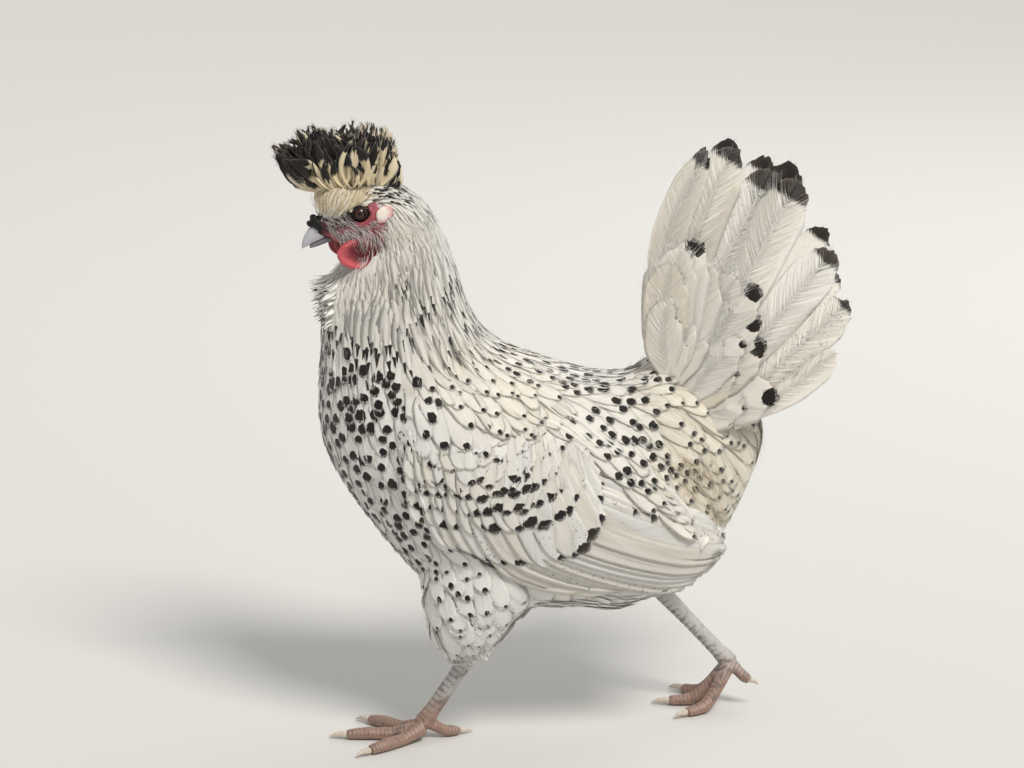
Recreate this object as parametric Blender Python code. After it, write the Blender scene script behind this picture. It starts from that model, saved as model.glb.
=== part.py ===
"""A crested, silver-spangled hen at life size, caught at a walk.

The left foot is planted ahead, flat on the floor, and the right foot trails with its heel and
hind toe lifted and its front toes still down. Metres, +Z up, the floor at Z = 0. The hen faces
-X with its left side towards -Y. Every outer surface is the outer surface of the plumage.
"""

import math

import bmesh
import bpy
import numpy as np
from mathutils import Vector
from mathutils.bvhtree import BVHTree

MM = 0.001
GAP = 0.3 * MM  # air left between two nodes that meet
CENTRE_X = 0.8 * MM  # brings the middle of the whole length over the origin

# The head looks a little to the hen's left: a turn about an upright axis through the nape.
HEAD_TURN = math.radians(12)
TURN_AXIS_X = -108 * MM
TURN_FROM, TURN_TO = 262 * MM, 295 * MM  # measured up and forward, where the turn starts and is full

# Stations of the body from rump to face: top x, z, bottom x, z and half width, in mm.
BODY = (
    (72, 268, 118, 236, 9),
    (60, 252, 131, 198, 22),
    (54, 246, 122, 168, 36),
    (46, 241, 109, 140, 43),
    (34, 238, 89, 110, 50),
    (18, 239, 60, 88, 57),
    (-3, 244, 18, 82, 63),
    (-21, 250, -26, 83, 66),
    (-34, 255, -63, 91, 67),
    (-43, 261, -92, 104, 66),
    (-49, 266, -118, 135, 63),
    (-53, 273, -140, 166, 60),
    (-57, 280, -153, 193, 56),
    (-61, 289, -156, 221, 51),
    (-64, 300, -155, 248, 46),
    (-68, 313, -154, 270, 41),
    (-72, 325, -156, 288, 36),
    (-78, 337, -148, 300, 31),
    (-84, 347, -137, 308, 26),
    (-93, 356, -133, 313, 22),
    (-103, 362, -135, 317, 19),
    (-116, 365, -139, 321, 17),
    (-129, 363, -142, 324, 15),
    (-140, 359, -147, 327, 12.5),
    (-149, 352, -152, 329, 9.5),
    (-154, 346, -155, 331, 7),
)
STEPS = 2  # rings between two stations
RING = 22  # points round a ring
FULLNESS = 2.25  # exponent of the section's superellipse
NECK_AT, HEAD_AT = 12.0, 18.0  # stations where the body is parted into trunk, neck and head

EYE = (-129.6, 12.7, 345.4)  # of the left eye, mirrored for the right
EYE_RADIUS = 5.6
EARLOBE = (-114.5, 18.5, 343.6)
EARLOBE_HALF = (6.3, 1.8, 7.0)
WATTLE = (-129.6, 14.8, 320.8)
WATTLE_HALF = (13.0, 2.2, 10.0)
WATTLE_FLARE = 0.34  # how much its rear edge stands out from the throat

# Stations of the bill: x, top z, bottom z, half width.
UPPER_BILL = (
    (-141.5, 341, 330.4, 6.0),
    (-149, 340.8, 328.4, 5.6),
    (-155.2, 338.8, 325.8, 4.7),
    (-160.6, 334.4, 323.4, 3.4),
    (-163.9, 329.0, 321.7, 2.0),
    (-165.2, 324.4, 321.0, 0.8),
)
LOWER_BILL = (
    (-141.5, 332.4, 326.8, 5.0),
    (-148.5, 330.4, 324.9, 4.2),
    (-154.5, 327.9, 322.6, 3.1),
    (-160.2, 325.4, 321.2, 1.6),
)
COMB = (-153.6, 0, 337.4)  # the low dark comb that caps the bill over the nostrils
COMB_HALF = (7.4, 6.3, 4.6)

# The crest is a fan of blown feathers: the line that its roots stand on and the tips of its
# spokes, x and z, from the brow round to the nape, and its half thickness across the head.
CREST_ROOTS = ((-150, 344), (-144, 351), (-134, 357), (-120, 359), (-107, 357))
CREST_INSET = 4  # how far the fan reaches into the crown
CREST_TIPS = (
    (-178, 371.5), (-183, 378), (-183, 390.5), (-174, 392), (-168, 397), (-163.5, 403), (-156.5, 404.5),
    (-149.5, 398.5), (-142.5, 398.5), (-136.5, 399), (-126, 399.5), (-120.5, 398.5), (-113, 396),
    (-107.5, 387), (-104, 379), (-100.6, 369.5),
)
CREST_HALF = 21.0

# The tail is a folded fan of main feathers: tips from the ridge down to the outermost, x and z.
TAIL_TIPS = (
    (92, 383.5), (109, 387), (133, 373), (149.5, 369.5), (171, 324.5), (180, 293), (172.5, 262),
)
TAIL_RIDGE_ROOT, TAIL_LOW_ROOT = (68, 244), (112, 204)
TAIL_RIDGE_BOW, TAIL_LOW_BOW = (-27, 7), (6, -6)  # how far the middle of a feather bows
TAIL_ROOT_SPREAD, TAIL_TIP_SPREAD = 30, 47  # half width at the lowest feather
TAIL_THICK = 2.2
TAIL_ROWS, TAIL_COLUMNS = 5, 3  # rows along a feather, columns in one feather

# The folded wing: its lower and upper edges from shoulder to tip, x and z.
WING_LOW = ((-103, 198), (-94, 165), (-74, 136), (-47, 126), (-10, 118), (33, 114), (76, 111), (105, 123))
WING_HIGH = ((-101, 222), (-84, 236), (-52, 240), (-12, 233), (26, 216), (60, 187), (88, 156), (107, 129))
WING_COLUMNS, WING_ROWS = 18, 6
WING_RISE = 7.0  # how far the folded wing stands out from the flank
WING_THICK = 3.4
WING_TIP_Y = 41.0

# Thighs with their feathers: x, y, z of a station's middle, half length and half width.
THIGH_LEFT = (
    (-38, 32, 132, 44, 26), (-46, 34, 112, 43, 27), (-54, 36, 92, 35, 25), (-61, 36.5, 74, 25, 20),
    (-62.5, 36.5, 61, 14, 12), (-62, 36.5, 55, 8, 8),
)
THIGH_RIGHT = (
    (6, 32, 126, 34, 24), (20, 35, 108, 33, 24), (36, 37, 95, 25, 20), (51, 37, 88, 15, 13),
    (61, 36.5, 84, 8, 8),
)

# Legs: hock, ball of the foot and the toes' own points, x, y (to that leg's side) and z.
LEFT_HOCK, LEFT_BALL = (-51, 36, 70), (-88, 31, 12)
RIGHT_HOCK, RIGHT_BALL = (62, 36, 84.5), (112, 34, 31)
SHANK = ((0, 6.6, 6.0), (0.12, 6.0, 5.4), (0.5, 5.0, 4.6), (0.85, 5.2, 4.8), (1.0, 6.4, 6.0))
TOE_RADII = (5.0, 4.3, 4.5, 3.4)
TOE_HALF_WIDTH = 1.05
TOE_RINGS = 7
CLAW_RADIUS = 2.5
LEFT_TOES = {
    "middle": ((-88, 31, 8.8), (-108, 31, 3.6), (-124, 31, 3.6), (-138, 31, 2.8), (-150, 31, 1.5)),
    "inner": ((-89.5, 28, 8.6), (-103, 19, 3.6), (-114, 10, 3.6), (-124, 3, 2.8), (-134, -3, 1.5)),
    "outer": ((-89.5, 34.4, 8.6), (-102, 43, 3.6), (-113, 53, 3.6), (-122, 60, 2.8), (-131, 67, 1.5)),
    "hind": ((-86, 30.2, 11.2), (-76, 27, 4.8), (-71, 25, 3.3), (-66, 23, 2.5), (-57, 20, 1.3)),
}
RIGHT_TOES = {
    "middle": ((113, 34, 29.4), (99, 34, 13), (88, 34, 3.9), (73, 34, 2.8), (61, 34, 1.5)),
    "inner": ((112, 31.4, 28.6), (103, 24, 13), (95, 18, 3.8), (84, 11, 2.8), (75, 5, 1.5)),
    "outer": ((112, 36.6, 28.6), (102, 45, 13), (94, 51, 3.8), (83, 58, 2.8), (74, 65, 1.5)),
    "hind": ((113.6, 33.4, 29.4), (120, 32, 22.5), (123, 31.5, 20), (126, 31, 18.3), (132, 30, 15.6)),
}

# Base colour and roughness of each material.
PALETTE = {
    "plumage": ((0.80, 0.78, 0.73), 0.75),
    "crest_feather": ((0.12, 0.10, 0.08), 0.7),
    "red_skin": ((0.55, 0.06, 0.07), 0.5),
    "lobe_skin": ((0.76, 0.71, 0.64), 0.55),
    "bill_horn": ((0.60, 0.63, 0.68), 0.35),
    "comb": ((0.03, 0.03, 0.03), 0.5),
    "eye": ((0.16, 0.03, 0.02), 0.1),
    "scaled_leg": ((0.30, 0.31, 0.33), 0.6),
    "claw": ((0.66, 0.60, 0.52), 0.4),
}


def clear_scene():
    for obj in list(bpy.data.objects):
        bpy.data.objects.remove(obj)


def material(name):
    found = bpy.data.materials.get(name)
    if found:
        return found
    colour, roughness = PALETTE[name]
    made = bpy.data.materials.new(name)
    made.use_nodes = True
    shader = made.node_tree.nodes["Principled BSDF"]
    shader.inputs["Base Color"].default_value = (*colour, 1)
    shader.inputs["Roughness"].default_value = roughness
    shader.inputs["Metallic"].default_value = 0
    made.diffuse_color = (*colour, 1)
    return made


def smoothstep(low, high, value):
    t = min(1.0, max(0.0, (value - low) / (high - low)))
    return t * t * (3 - 2 * t)


def head_turned(point):
    """The point after the head's turn, which fades out down the neck."""
    x, y, z = point
    angle = HEAD_TURN * smoothstep(TURN_FROM, TURN_TO, 0.6 * z - 0.8 * x)
    along = x - TURN_AXIS_X
    c, s = math.cos(angle), math.sin(angle)
    return (TURN_AXIS_X + along * c - y * s, along * s + y * c, z)


def spline(rows, at):
    """A Catmull-Rom curve through the rows, at a place counted in rows."""
    rows = np.asarray(rows, float)
    at = min(max(at, 0.0), len(rows) - 1.0)
    i = min(int(at), len(rows) - 2)
    t = at - i
    p1, p2 = rows[i], rows[i + 1]
    p0 = rows[i - 1] if i > 0 else 2 * p1 - p2
    p3 = rows[i + 2] if i + 2 < len(rows) else 2 * p2 - p1
    return 0.5 * (2 * p1 + (p2 - p0) * t + (2 * p0 - 5 * p1 + 4 * p2 - p3) * t**2
                  + (3 * p1 - p0 - 3 * p2 + p3) * t**3)


def solid(name, points, faces, slot):
    """A mesh object from points and faces, its faces turned outwards and its origin at its middle."""
    points = np.asarray(points) + np.array([CENTRE_X, 0, 0])
    middle = (points.min(axis=0) + points.max(axis=0)) / 2
    mesh = bpy.data.meshes.new(name)
    mesh.from_pydata((points - middle).tolist(), [], faces)
    shape = bmesh.new()
    shape.from_mesh(mesh)
    bmesh.ops.recalc_face_normals(shape, faces=shape.faces)
    shape.to_mesh(mesh)
    shape.free()
    mesh.materials.append(material(slot))
    mesh.shade_smooth()
    mesh.set_sharp_from_angle(angle=math.radians(50))
    obj = bpy.data.objects.new(name, mesh)
    obj.location = middle
    obj.parent = bpy.data.objects["hen"]
    bpy.context.scene.collection.objects.link(obj)
    return obj


def loft(name, rings, slot):
    """A closed solid through rings of equal count, each end closed by a fan."""
    count = len(rings[0])
    points = [p for ring in rings for p in ring]
    faces = []
    for i in range(len(rings) - 1):
        for j in range(count):
            k = (j + 1) % count
            faces.append((i * count + j, i * count + k, (i + 1) * count + k, (i + 1) * count + j))
    for start in (0, (len(rings) - 1) * count):
        points.append(np.mean(points[start:start + count], axis=0))
        hub = len(points) - 1
        faces += [(start + j, start + (j + 1) % count, hub) for j in range(count)]
    return solid(name, points, faces, slot)


def body_ring(at, shift=0.0):
    """One ring of the body, moved along the body by shift."""
    top_x, top_z, low_x, low_z, half = spline(BODY, at) * MM
    ahead = spline(BODY, at + 0.05) - spline(BODY, at - 0.05)
    middle = np.array([(top_x + low_x) / 2, 0, (top_z + low_z) / 2])
    up = np.array([(top_x - low_x) / 2, 0, (top_z - low_z) / 2])
    across = np.array([up[2], 0, -up[0]])
    across /= np.linalg.norm(across)
    if across @ np.array([ahead[0] + ahead[2], 0, ahead[1] + ahead[3]]) < 0:
        across = -across
    ring = []
    for j in range(RING):
        angle = 2 * math.pi * j / RING
        c, s = math.cos(angle), math.sin(angle)
        c = math.copysign(abs(c) ** (2 / FULLNESS), c)
        s = math.copysign(abs(s) ** (2 / FULLNESS), s)
        ring.append(head_turned(middle + up * c + np.array([0, half * s, 0]) + across * shift))
    return ring


def body_piece(name, first, last):
    """The body between two places, each end half a gap short unless it is the body's own end."""
    end = len(BODY) - 1
    places = [first] + [i / STEPS for i in range(int(first * STEPS) + 1, math.ceil(last * STEPS))] + [last]
    rings = [body_ring(at) for at in places]
    if first > 0:
        rings[0] = body_ring(first, GAP / 2)
    if last < end:
        rings[-1] = body_ring(last, -GAP / 2)
    return loft(name, rings, "plumage")


def clear_of(obj, *neighbours, gap=GAP):
    """Cuts each neighbour, grown by the gap, out of the object."""
    for other in neighbours:
        cutter = other.copy()
        cutter.name = f"cutter_{other.name}_{obj.name}"
        cutter.hide_render = True
        cutter.display_type = "WIRE"
        grow = cutter.modifiers.new("grow", "DISPLACE")
        grow.strength = gap
        grow.mid_level = 0
        bpy.context.scene.collection.objects.link(cutter)
        cut = obj.modifiers.new(f"clear of {other.name}", "BOOLEAN")
        cut.operation = "DIFFERENCE"
        cut.solver = "EXACT"
        cut.object = cutter


def ellipsoid(name, centre, half, slot, rings=8, count=12, shape=None, flare=0.0):
    """An ellipsoid with its poles along Y, its outline changed by shape(angle) and its plane turned by flare."""
    points, faces = [], []
    for i in range(1, rings):
        tilt = math.pi * i / rings
        for j in range(count):
            turn = 2 * math.pi * j / count
            k = shape(turn) if shape else 1.0
            ahead = half[0] * k * math.sin(tilt) * math.cos(turn)
            points.append((centre[0] + ahead,
                           centre[1] + half[1] * math.cos(tilt) + ahead * flare,
                           centre[2] + half[2] * k * math.sin(tilt) * math.sin(turn)))
    for i in range(rings - 2):
        for j in range(count):
            k = (j + 1) % count
            faces.append((i * count + j, i * count + k, (i + 1) * count + k, (i + 1) * count + j))
    for start, sign in ((0, 1), ((rings - 2) * count, -1)):
        points.append((centre[0], centre[1] + sign * half[1], centre[2]))
        faces += [(start + j, start + (j + 1) % count, len(points) - 1) for j in range(count)]
    return solid(name, [head_turned(np.array(p) * MM) for p in points], faces, slot)


def bill(name, stations, floor_power, count=10, steps=2):
    """Half of the bill, arched above and flatter below."""
    rings = []
    for i in range((len(stations) - 1) * steps + 1):
        x, top, low, half = spline(stations, i / steps)
        middle, tall = (top + low) / 2, (top - low) / 2
        ring = []
        for j in range(count):
            angle = 2 * math.pi * j / count
            c, s = math.cos(angle), math.sin(angle)
            side = math.copysign(abs(s) ** (floor_power if c < 0 else 0.9), s)
            ring.append(head_turned(np.array([x, half * side, middle + tall * c]) * MM))
        rings.append(ring)
    return loft(name, rings, "bill_horn")


def crest():
    """The blown crest: a fan of spokes from the crown, its tips pulled to points."""
    spokes = len(CREST_TIPS)
    sections = []
    for i in range(2 * spokes - 1):
        t = i / (2 * spokes - 2)
        root = spline(CREST_ROOTS, t * (len(CREST_ROOTS) - 1))
        tip = spline(CREST_TIPS, i / 2)
        if i % 2:
            tip = root + (tip - root) * 0.93
        inward = root - (tip - root) / np.linalg.norm(tip - root) * CREST_INSET
        half = CREST_HALF * (0.34 + 0.66 * math.sin(math.pi * (0.12 + 0.8 * t)))
        half *= 1.0 if i % 2 == 0 else 0.93
        profile = ((0.0, 0.5), (0.4, 0.86), (0.78, 0.74), (1.0, 0.16))
        ring = []
        for side in (-1, 1):
            for along, wide in profile if side < 0 else profile[::-1]:
                at = inward + (tip - inward) * along
                ring.append(head_turned(np.array([at[0], side * half * wide, at[1]]) * MM))
        sections.append(ring)
    return loft("crest", sections, "crest_feather")


def tail_point(place, along):
    """A point of the fan, from the ridge (place 0) to the lowest feather (place 1)."""
    feathers = len(TAIL_TIPS)
    which = min(int(place * feathers), feathers - 1)
    across = 2 * (place * feathers - which) - 1
    own = np.array(TAIL_TIPS[which], float)
    smooth = spline(TAIL_TIPS, place * feathers - 0.5)
    tip = smooth * 0.45 + (own + (smooth - own) * 0.9 * abs(across)) * 0.55
    root = np.array(TAIL_RIDGE_ROOT) * (1 - place) + np.array(TAIL_LOW_ROOT) * place
    tip = tip - (tip - root) * 0.055 * abs(across) ** 3
    bow = np.array(TAIL_RIDGE_BOW) * (1 - place) ** 1.6 + np.array(TAIL_LOW_BOW) * place
    at = root + (tip - root) * along + bow * 4 * along * (1 - along) * (1 - 0.25 * along)
    return at


def tail():
    """The tail: a tented sheet of overlapping main feathers, one side each way from the ridge."""
    feathers = len(TAIL_TIPS)
    columns = feathers * TAIL_COLUMNS
    side_list = list(range(-columns, columns + 1))

    def place_of(u, row):
        place = abs(u) / columns
        along = row / TAIL_ROWS
        x, z = tail_point(min(place, 0.9999), along)
        spread = TAIL_ROOT_SPREAD + (TAIL_TIP_SPREAD - TAIL_ROOT_SPREAD) * along
        y = math.copysign(spread * place**0.85 + 0.001, u) if u else 0.0
        lap = (abs(u) % TAIL_COLUMNS) / TAIL_COLUMNS * 1.1 * along
        return np.array([x, y, z]), lap

    grid = [[place_of(u, row) for row in range(TAIL_ROWS + 1)] for u in side_list]
    outer, inner = [], []
    for i, column in enumerate(grid):
        for j, (point, lap) in enumerate(column):
            before, after = grid[max(i - 1, 0)][j][0], grid[min(i + 1, len(grid) - 1)][j][0]
            low, high = column[max(j - 1, 0)][0], column[min(j + 1, TAIL_ROWS)][0]
            normal = np.cross(after - before, high - low)
            normal /= np.linalg.norm(normal)
            if normal @ (point - np.array([point[0] + 40, 0, point[2] - 60])) < 0:
                normal = -normal
            thick = TAIL_THICK * (1.2 - 0.5 * j / TAIL_ROWS)
            outer.append((point + normal * (thick / 2 - lap * 0.6)) * MM)
            inner.append((point - normal * (thick / 2 + lap * 0.6)) * MM)
    return sheet("tail", outer, inner, len(grid), TAIL_ROWS + 1, "plumage")


def sheet(name, outer, inner, columns, rows, slot):
    """A closed solid between two grids of points, columns by rows."""
    faces, shift = [], len(outer)

    def quad(i, j):
        return (i * rows + j, (i + 1) * rows + j, (i + 1) * rows + j + 1, i * rows + j + 1)

    for i in range(columns - 1):
        for j in range(rows - 1):
            face = quad(i, j)
            faces.append(face)
            faces.append(tuple(k + shift for k in reversed(face)))
    edge = [(i, 0) for i in range(columns)] + [(columns - 1, j) for j in range(1, rows)]
    edge += [(i, rows - 1) for i in range(columns - 2, -1, -1)] + [(0, j) for j in range(rows - 2, 0, -1)]
    for (a, b), (c, d) in zip(edge, edge[1:] + edge[:1]):
        first, second = a * rows + b, c * rows + d
        faces.append((first, second, second + shift, first + shift))
    return solid(name, list(outer) + list(inner), faces, slot)


def wing(name, side, flank):
    """A folded wing: a shield over the flank, its lower edge cut by the tips of the flight feathers."""
    grid = np.zeros((WING_COLUMNS + 1, WING_ROWS + 1, 3))
    on_body = np.zeros((WING_COLUMNS + 1, WING_ROWS + 1))
    for i in range(WING_COLUMNS + 1):
        along = i / WING_COLUMNS
        low = spline(WING_LOW, along * (len(WING_LOW) - 1))
        high = spline(WING_HIGH, along * (len(WING_HIGH) - 1))
        low = low + np.array([0.0, 1.6 if i % 2 else -0.6])
        for j in range(WING_ROWS + 1):
            x, z = low + (high - low) * j / WING_ROWS
            hit = flank.ray_cast(Vector((x * MM + CENTRE_X, side * 0.2, z * MM)), Vector((0, -side, 0)))[0]
            y = abs(hit.y) / MM if hit else 0.0
            grid[i, j] = (x, max(y, 0.0), z)
            on_body[i, j] = 1.0 if hit and y > WING_TIP_Y * 0.72 else 0.0
    outer_y = grid[:, :, 1].copy()
    for i in range(WING_COLUMNS + 1):
        along = i / WING_COLUMNS
        for j in range(WING_ROWS + 1):
            if along > 0.6:
                floor = WING_TIP_Y + (outer_y[int(0.6 * WING_COLUMNS), j] - WING_TIP_Y) * (1 - (along - 0.6) / 0.4)
                outer_y[i, j] = max(outer_y[i, j] if on_body[i, j] else 0.0, floor * 0.97)
    outer, inner = [], []
    for i in range(WING_COLUMNS + 1):
        along = i / WING_COLUMNS
        for j in range(WING_ROWS + 1):
            across = j / WING_ROWS
            rim = min(1.0, 4.2 * across + 0.35, 3.2 * (1 - across) + 0.5, 6 * along + 0.4)
            lap = 1.0 * ((j * 2) % 3) / 2 if along > 0.3 else 0.7 * (j % 2)
            rise = (WING_RISE - 2.0 * along) * rim + lap * rim
            x, z = grid[i, j, 0], grid[i, j, 2]
            y = outer_y[i, j] + rise
            depth = WING_THICK + (rise + 4.0) * (1 - smoothstep(0.62, 0.8, along))
            outer.append(np.array([x, side * y, z]) * MM)
            inner.append(np.array([x, side * (y - depth), z]) * MM)
    return sheet(name, outer, inner, WING_COLUMNS + 1, WING_ROWS + 1, "plumage")


def thigh(name, stations, side, count=14, steps=1):
    """The feathered thigh, round in level sections."""
    rings = []
    for i in range((len(stations) - 1) * steps + 1):
        x, y, z, long_half, wide_half = spline(stations, i / steps)
        rings.append([
            np.array([x + long_half * math.cos(a), side * (y + wide_half * math.sin(a)), z]) * MM
            for a in (2 * math.pi * j / count for j in range(count))
        ])
    return loft(name, rings, "plumage")


def frame_along(path, i):
    """Two directions square to a path of points at point i, the first level."""
    ahead = path[min(i + 1, len(path) - 1)] - path[max(i - 1, 0)]
    ahead = ahead / np.linalg.norm(ahead)
    level = np.cross(ahead, [0, 0, 1.0])
    if np.linalg.norm(level) < 1e-6:
        level = np.array([0, 1.0, 0])
    level /= np.linalg.norm(level)
    return level, np.cross(level, ahead)


def tube(name, path, radii, slot, count=8, widen=1.0):
    """A tube along a path, flattened where it would pass below the floor."""
    path = [np.array(p, float) for p in path]
    rings = []
    for i, r in enumerate(radii):
        level, up = frame_along(path, i)
        ring = []
        for j in range(count):
            a = 2 * math.pi * (j + 0.5) / count
            p = path[i] + level * r * widen * math.cos(a) + up * r * math.sin(a)
            p[2] = max(p[2], 0.0)
            ring.append(p * MM)
        rings.append(ring)
    return loft(name, rings, slot)


def shank(name, hock, ball, side):
    """The bare scaled leg from the hock joint to the ball of the foot."""
    hock = np.array([hock[0], side * hock[1], hock[2]], float)
    ball = np.array([ball[0], side * ball[1], ball[2]], float)
    path = [hock + (ball - hock) * t for t, _, _ in SHANK]
    first = hock + (hock - ball) / np.linalg.norm(hock - ball) * 4
    last = ball + (ball - hock) / np.linalg.norm(ball - hock) * 3
    radii = [4.2] + [r for _, r, _ in SHANK] + [4.4]
    return tube(name, [first, *path, last], radii, "scaled_leg", count=10, widen=0.92)


def toe(name, points, side, small):
    """One toe as three soft pads on a tapering tube, with its claw as a solid of its own."""
    points = [np.array([x, side * y, z], float) for x, y, z in points]
    tip, claw_tip = points[-2], points[-1]
    path, radii = [], []
    for i in range(TOE_RINGS):
        t = i / (TOE_RINGS - 1)
        path.append(spline(points[:-1], t * (len(points) - 2)))
        swell = 0.35 * math.sin(3 * 2 * math.pi * t)
        radii.append((spline([(r,) for r in TOE_RADII], t * 3)[0] + swell) * small)
    toe_object = tube(name, path, radii, "scaled_leg", widen=TOE_HALF_WIDTH)
    claw_path, claw_radii = [], []
    for t, r in ((-0.25, 0.8), (0.15, 1.0), (0.6, 0.7), (1.0, 0.2)):
        at = tip + (claw_tip - tip) * t
        claw_path.append(at + np.array([0, 0, 1.3 * math.sin(math.pi * max(t, 0))]))
        claw_radii.append(CLAW_RADIUS * r * small)
    claw = tube(name.replace("toe", "claw"), claw_path, claw_radii, "claw", count=6)
    clear_of(claw, toe_object)
    return toe_object, claw


def both(place):
    """The left and right places for a place given by its distance from the middle plane."""
    return (("left", -1, (place[0], -place[1], place[2])), ("right", 1, place))


def main():
    clear_scene()
    bpy.context.scene.collection.objects.link(bpy.data.objects.new("hen", None))
    end = len(BODY) - 1.0
    trunk = body_piece("trunk", 0.0, NECK_AT)
    neck = body_piece("neck", NECK_AT, HEAD_AT)
    head = body_piece("head", HEAD_AT, end)
    body = body_piece("whole_body", 0.0, end)
    body.hide_render = True
    body.display_type = "WIRE"
    flank = BVHTree.FromPolygons([v.co + body.location for v in body.data.vertices],
                                 [tuple(p.vertices) for p in body.data.polygons])

    eyes = []
    for word, side, place in both(EYE):
        eyes.append(ellipsoid(f"eye_{word}", place, (EYE_RADIUS,) * 3, "eye", rings=7, count=12))
    clear_of(head, *eyes)
    upper = bill("bill_upper", UPPER_BILL, 0.55)
    lower = bill("bill_lower", LOWER_BILL, 0.9)
    clear_of(upper, body)
    clear_of(lower, body, upper)
    comb = ellipsoid("comb", COMB, COMB_HALF, "comb", rings=7, count=10)
    clear_of(comb, body, upper)
    clear_of(crest(), body, comb, *eyes)
    for word, side, place in both(EARLOBE):
        clear_of(ellipsoid(f"earlobe_{word}", place, EARLOBE_HALF, "lobe_skin", rings=6), body)
    for word, side, place in both(WATTLE):
        wattle = ellipsoid(f"wattle_{word}", place, WATTLE_HALF, "red_skin", rings=6, count=14,
                           shape=lambda a: 1.0 - 0.08 * math.cos(a + 0.6) + 0.05 * math.sin(2 * a),
                           flare=side * WATTLE_FLARE)
        clear_of(wattle, body, lower)

    clear_of(tail(), body)
    wings = [wing(f"wing_{word}", side, flank) for word, side in (("left", -1), ("right", 1))]
    for one in wings:
        clear_of(one, body)
    legs = (
        ("left", -1, THIGH_LEFT, LEFT_HOCK, LEFT_BALL, LEFT_TOES, wings[0]),
        ("right", 1, THIGH_RIGHT, RIGHT_HOCK, RIGHT_BALL, RIGHT_TOES, wings[1]),
    )
    for word, side, stations, hock, ball, toes, near_wing in legs:
        leg = shank(f"shank_{word}", hock, ball, side)
        over = thigh(f"thigh_{word}", stations, side)
        clear_of(over, body, near_wing, leg)
        made = []
        for which, points in toes.items():
            one, claw = toe(f"toe_{word}_{which}", points, side, 0.86 if which == "hind" else 1.0)
            clear_of(one, *made)
            made.append(one)
        for one in made:
            clear_of(one, leg)


main()
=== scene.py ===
"""Looks for a crested, silver-spangled hen at a walk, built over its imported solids.

One skin replaces the solids of flesh and lies inside them by the depth of the plumage. Each
feather over it is a thin closed vane, traced over that skin along the lie of the coat, and the
loose fluff is fine closed strands. Metres, +Z up, the floor at Z = 0. The hen faces -X and its
left side is towards -Y.
"""

import math
from functools import partial

import bmesh
import bpy
import numpy as np
from bpy.props import FloatProperty, FloatVectorProperty, IntProperty, PointerProperty
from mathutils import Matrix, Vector
from mathutils.bvhtree import BVHTree
from mathutils.kdtree import KDTree


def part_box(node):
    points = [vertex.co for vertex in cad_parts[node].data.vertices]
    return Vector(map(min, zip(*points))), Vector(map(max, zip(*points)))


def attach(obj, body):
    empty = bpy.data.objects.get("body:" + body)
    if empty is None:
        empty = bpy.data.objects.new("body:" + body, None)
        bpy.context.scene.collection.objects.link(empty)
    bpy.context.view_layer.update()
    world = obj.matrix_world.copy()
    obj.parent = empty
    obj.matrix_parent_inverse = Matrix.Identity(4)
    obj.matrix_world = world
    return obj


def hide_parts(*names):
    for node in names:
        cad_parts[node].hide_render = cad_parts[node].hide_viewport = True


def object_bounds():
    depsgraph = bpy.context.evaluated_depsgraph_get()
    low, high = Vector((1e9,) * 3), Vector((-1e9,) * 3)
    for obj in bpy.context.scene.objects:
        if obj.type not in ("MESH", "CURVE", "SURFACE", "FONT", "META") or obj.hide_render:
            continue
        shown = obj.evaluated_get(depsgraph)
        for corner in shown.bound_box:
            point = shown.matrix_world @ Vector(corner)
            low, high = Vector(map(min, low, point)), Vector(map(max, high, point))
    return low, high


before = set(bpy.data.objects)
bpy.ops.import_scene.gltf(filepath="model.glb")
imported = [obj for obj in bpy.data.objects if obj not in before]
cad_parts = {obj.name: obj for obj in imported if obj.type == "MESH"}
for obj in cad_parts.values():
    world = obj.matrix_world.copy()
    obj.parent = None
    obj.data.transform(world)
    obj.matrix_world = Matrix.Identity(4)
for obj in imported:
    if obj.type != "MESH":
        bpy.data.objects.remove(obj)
CAD_BOX = [list(map(float, corner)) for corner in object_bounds()]

bl_info = {
    "name": "Crested Spangled Hen",
    "version": (1, 0, 0),
    "blender": (4, 5, 0),
    "location": "3D View > Sidebar > Hen",
    "description": "Skin, plumage, head, legs and stage of a life-size walking hen",
    "category": "Object",
}

MM = 0.001
SIDES = (("left", -1), ("right", 1))
FLESH = ("trunk", "neck", "head", "thigh_left", "thigh_right")

# The head looks a little to the hen's left, about an upright axis through the nape.
HEAD_TURN = math.radians(12)
TURN_AXIS_X = -107.2 * MM
TURN_FROM, TURN_TO = 262 * MM, 295 * MM


# ---------------------------------------------------------------- the lie of the coat

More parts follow.
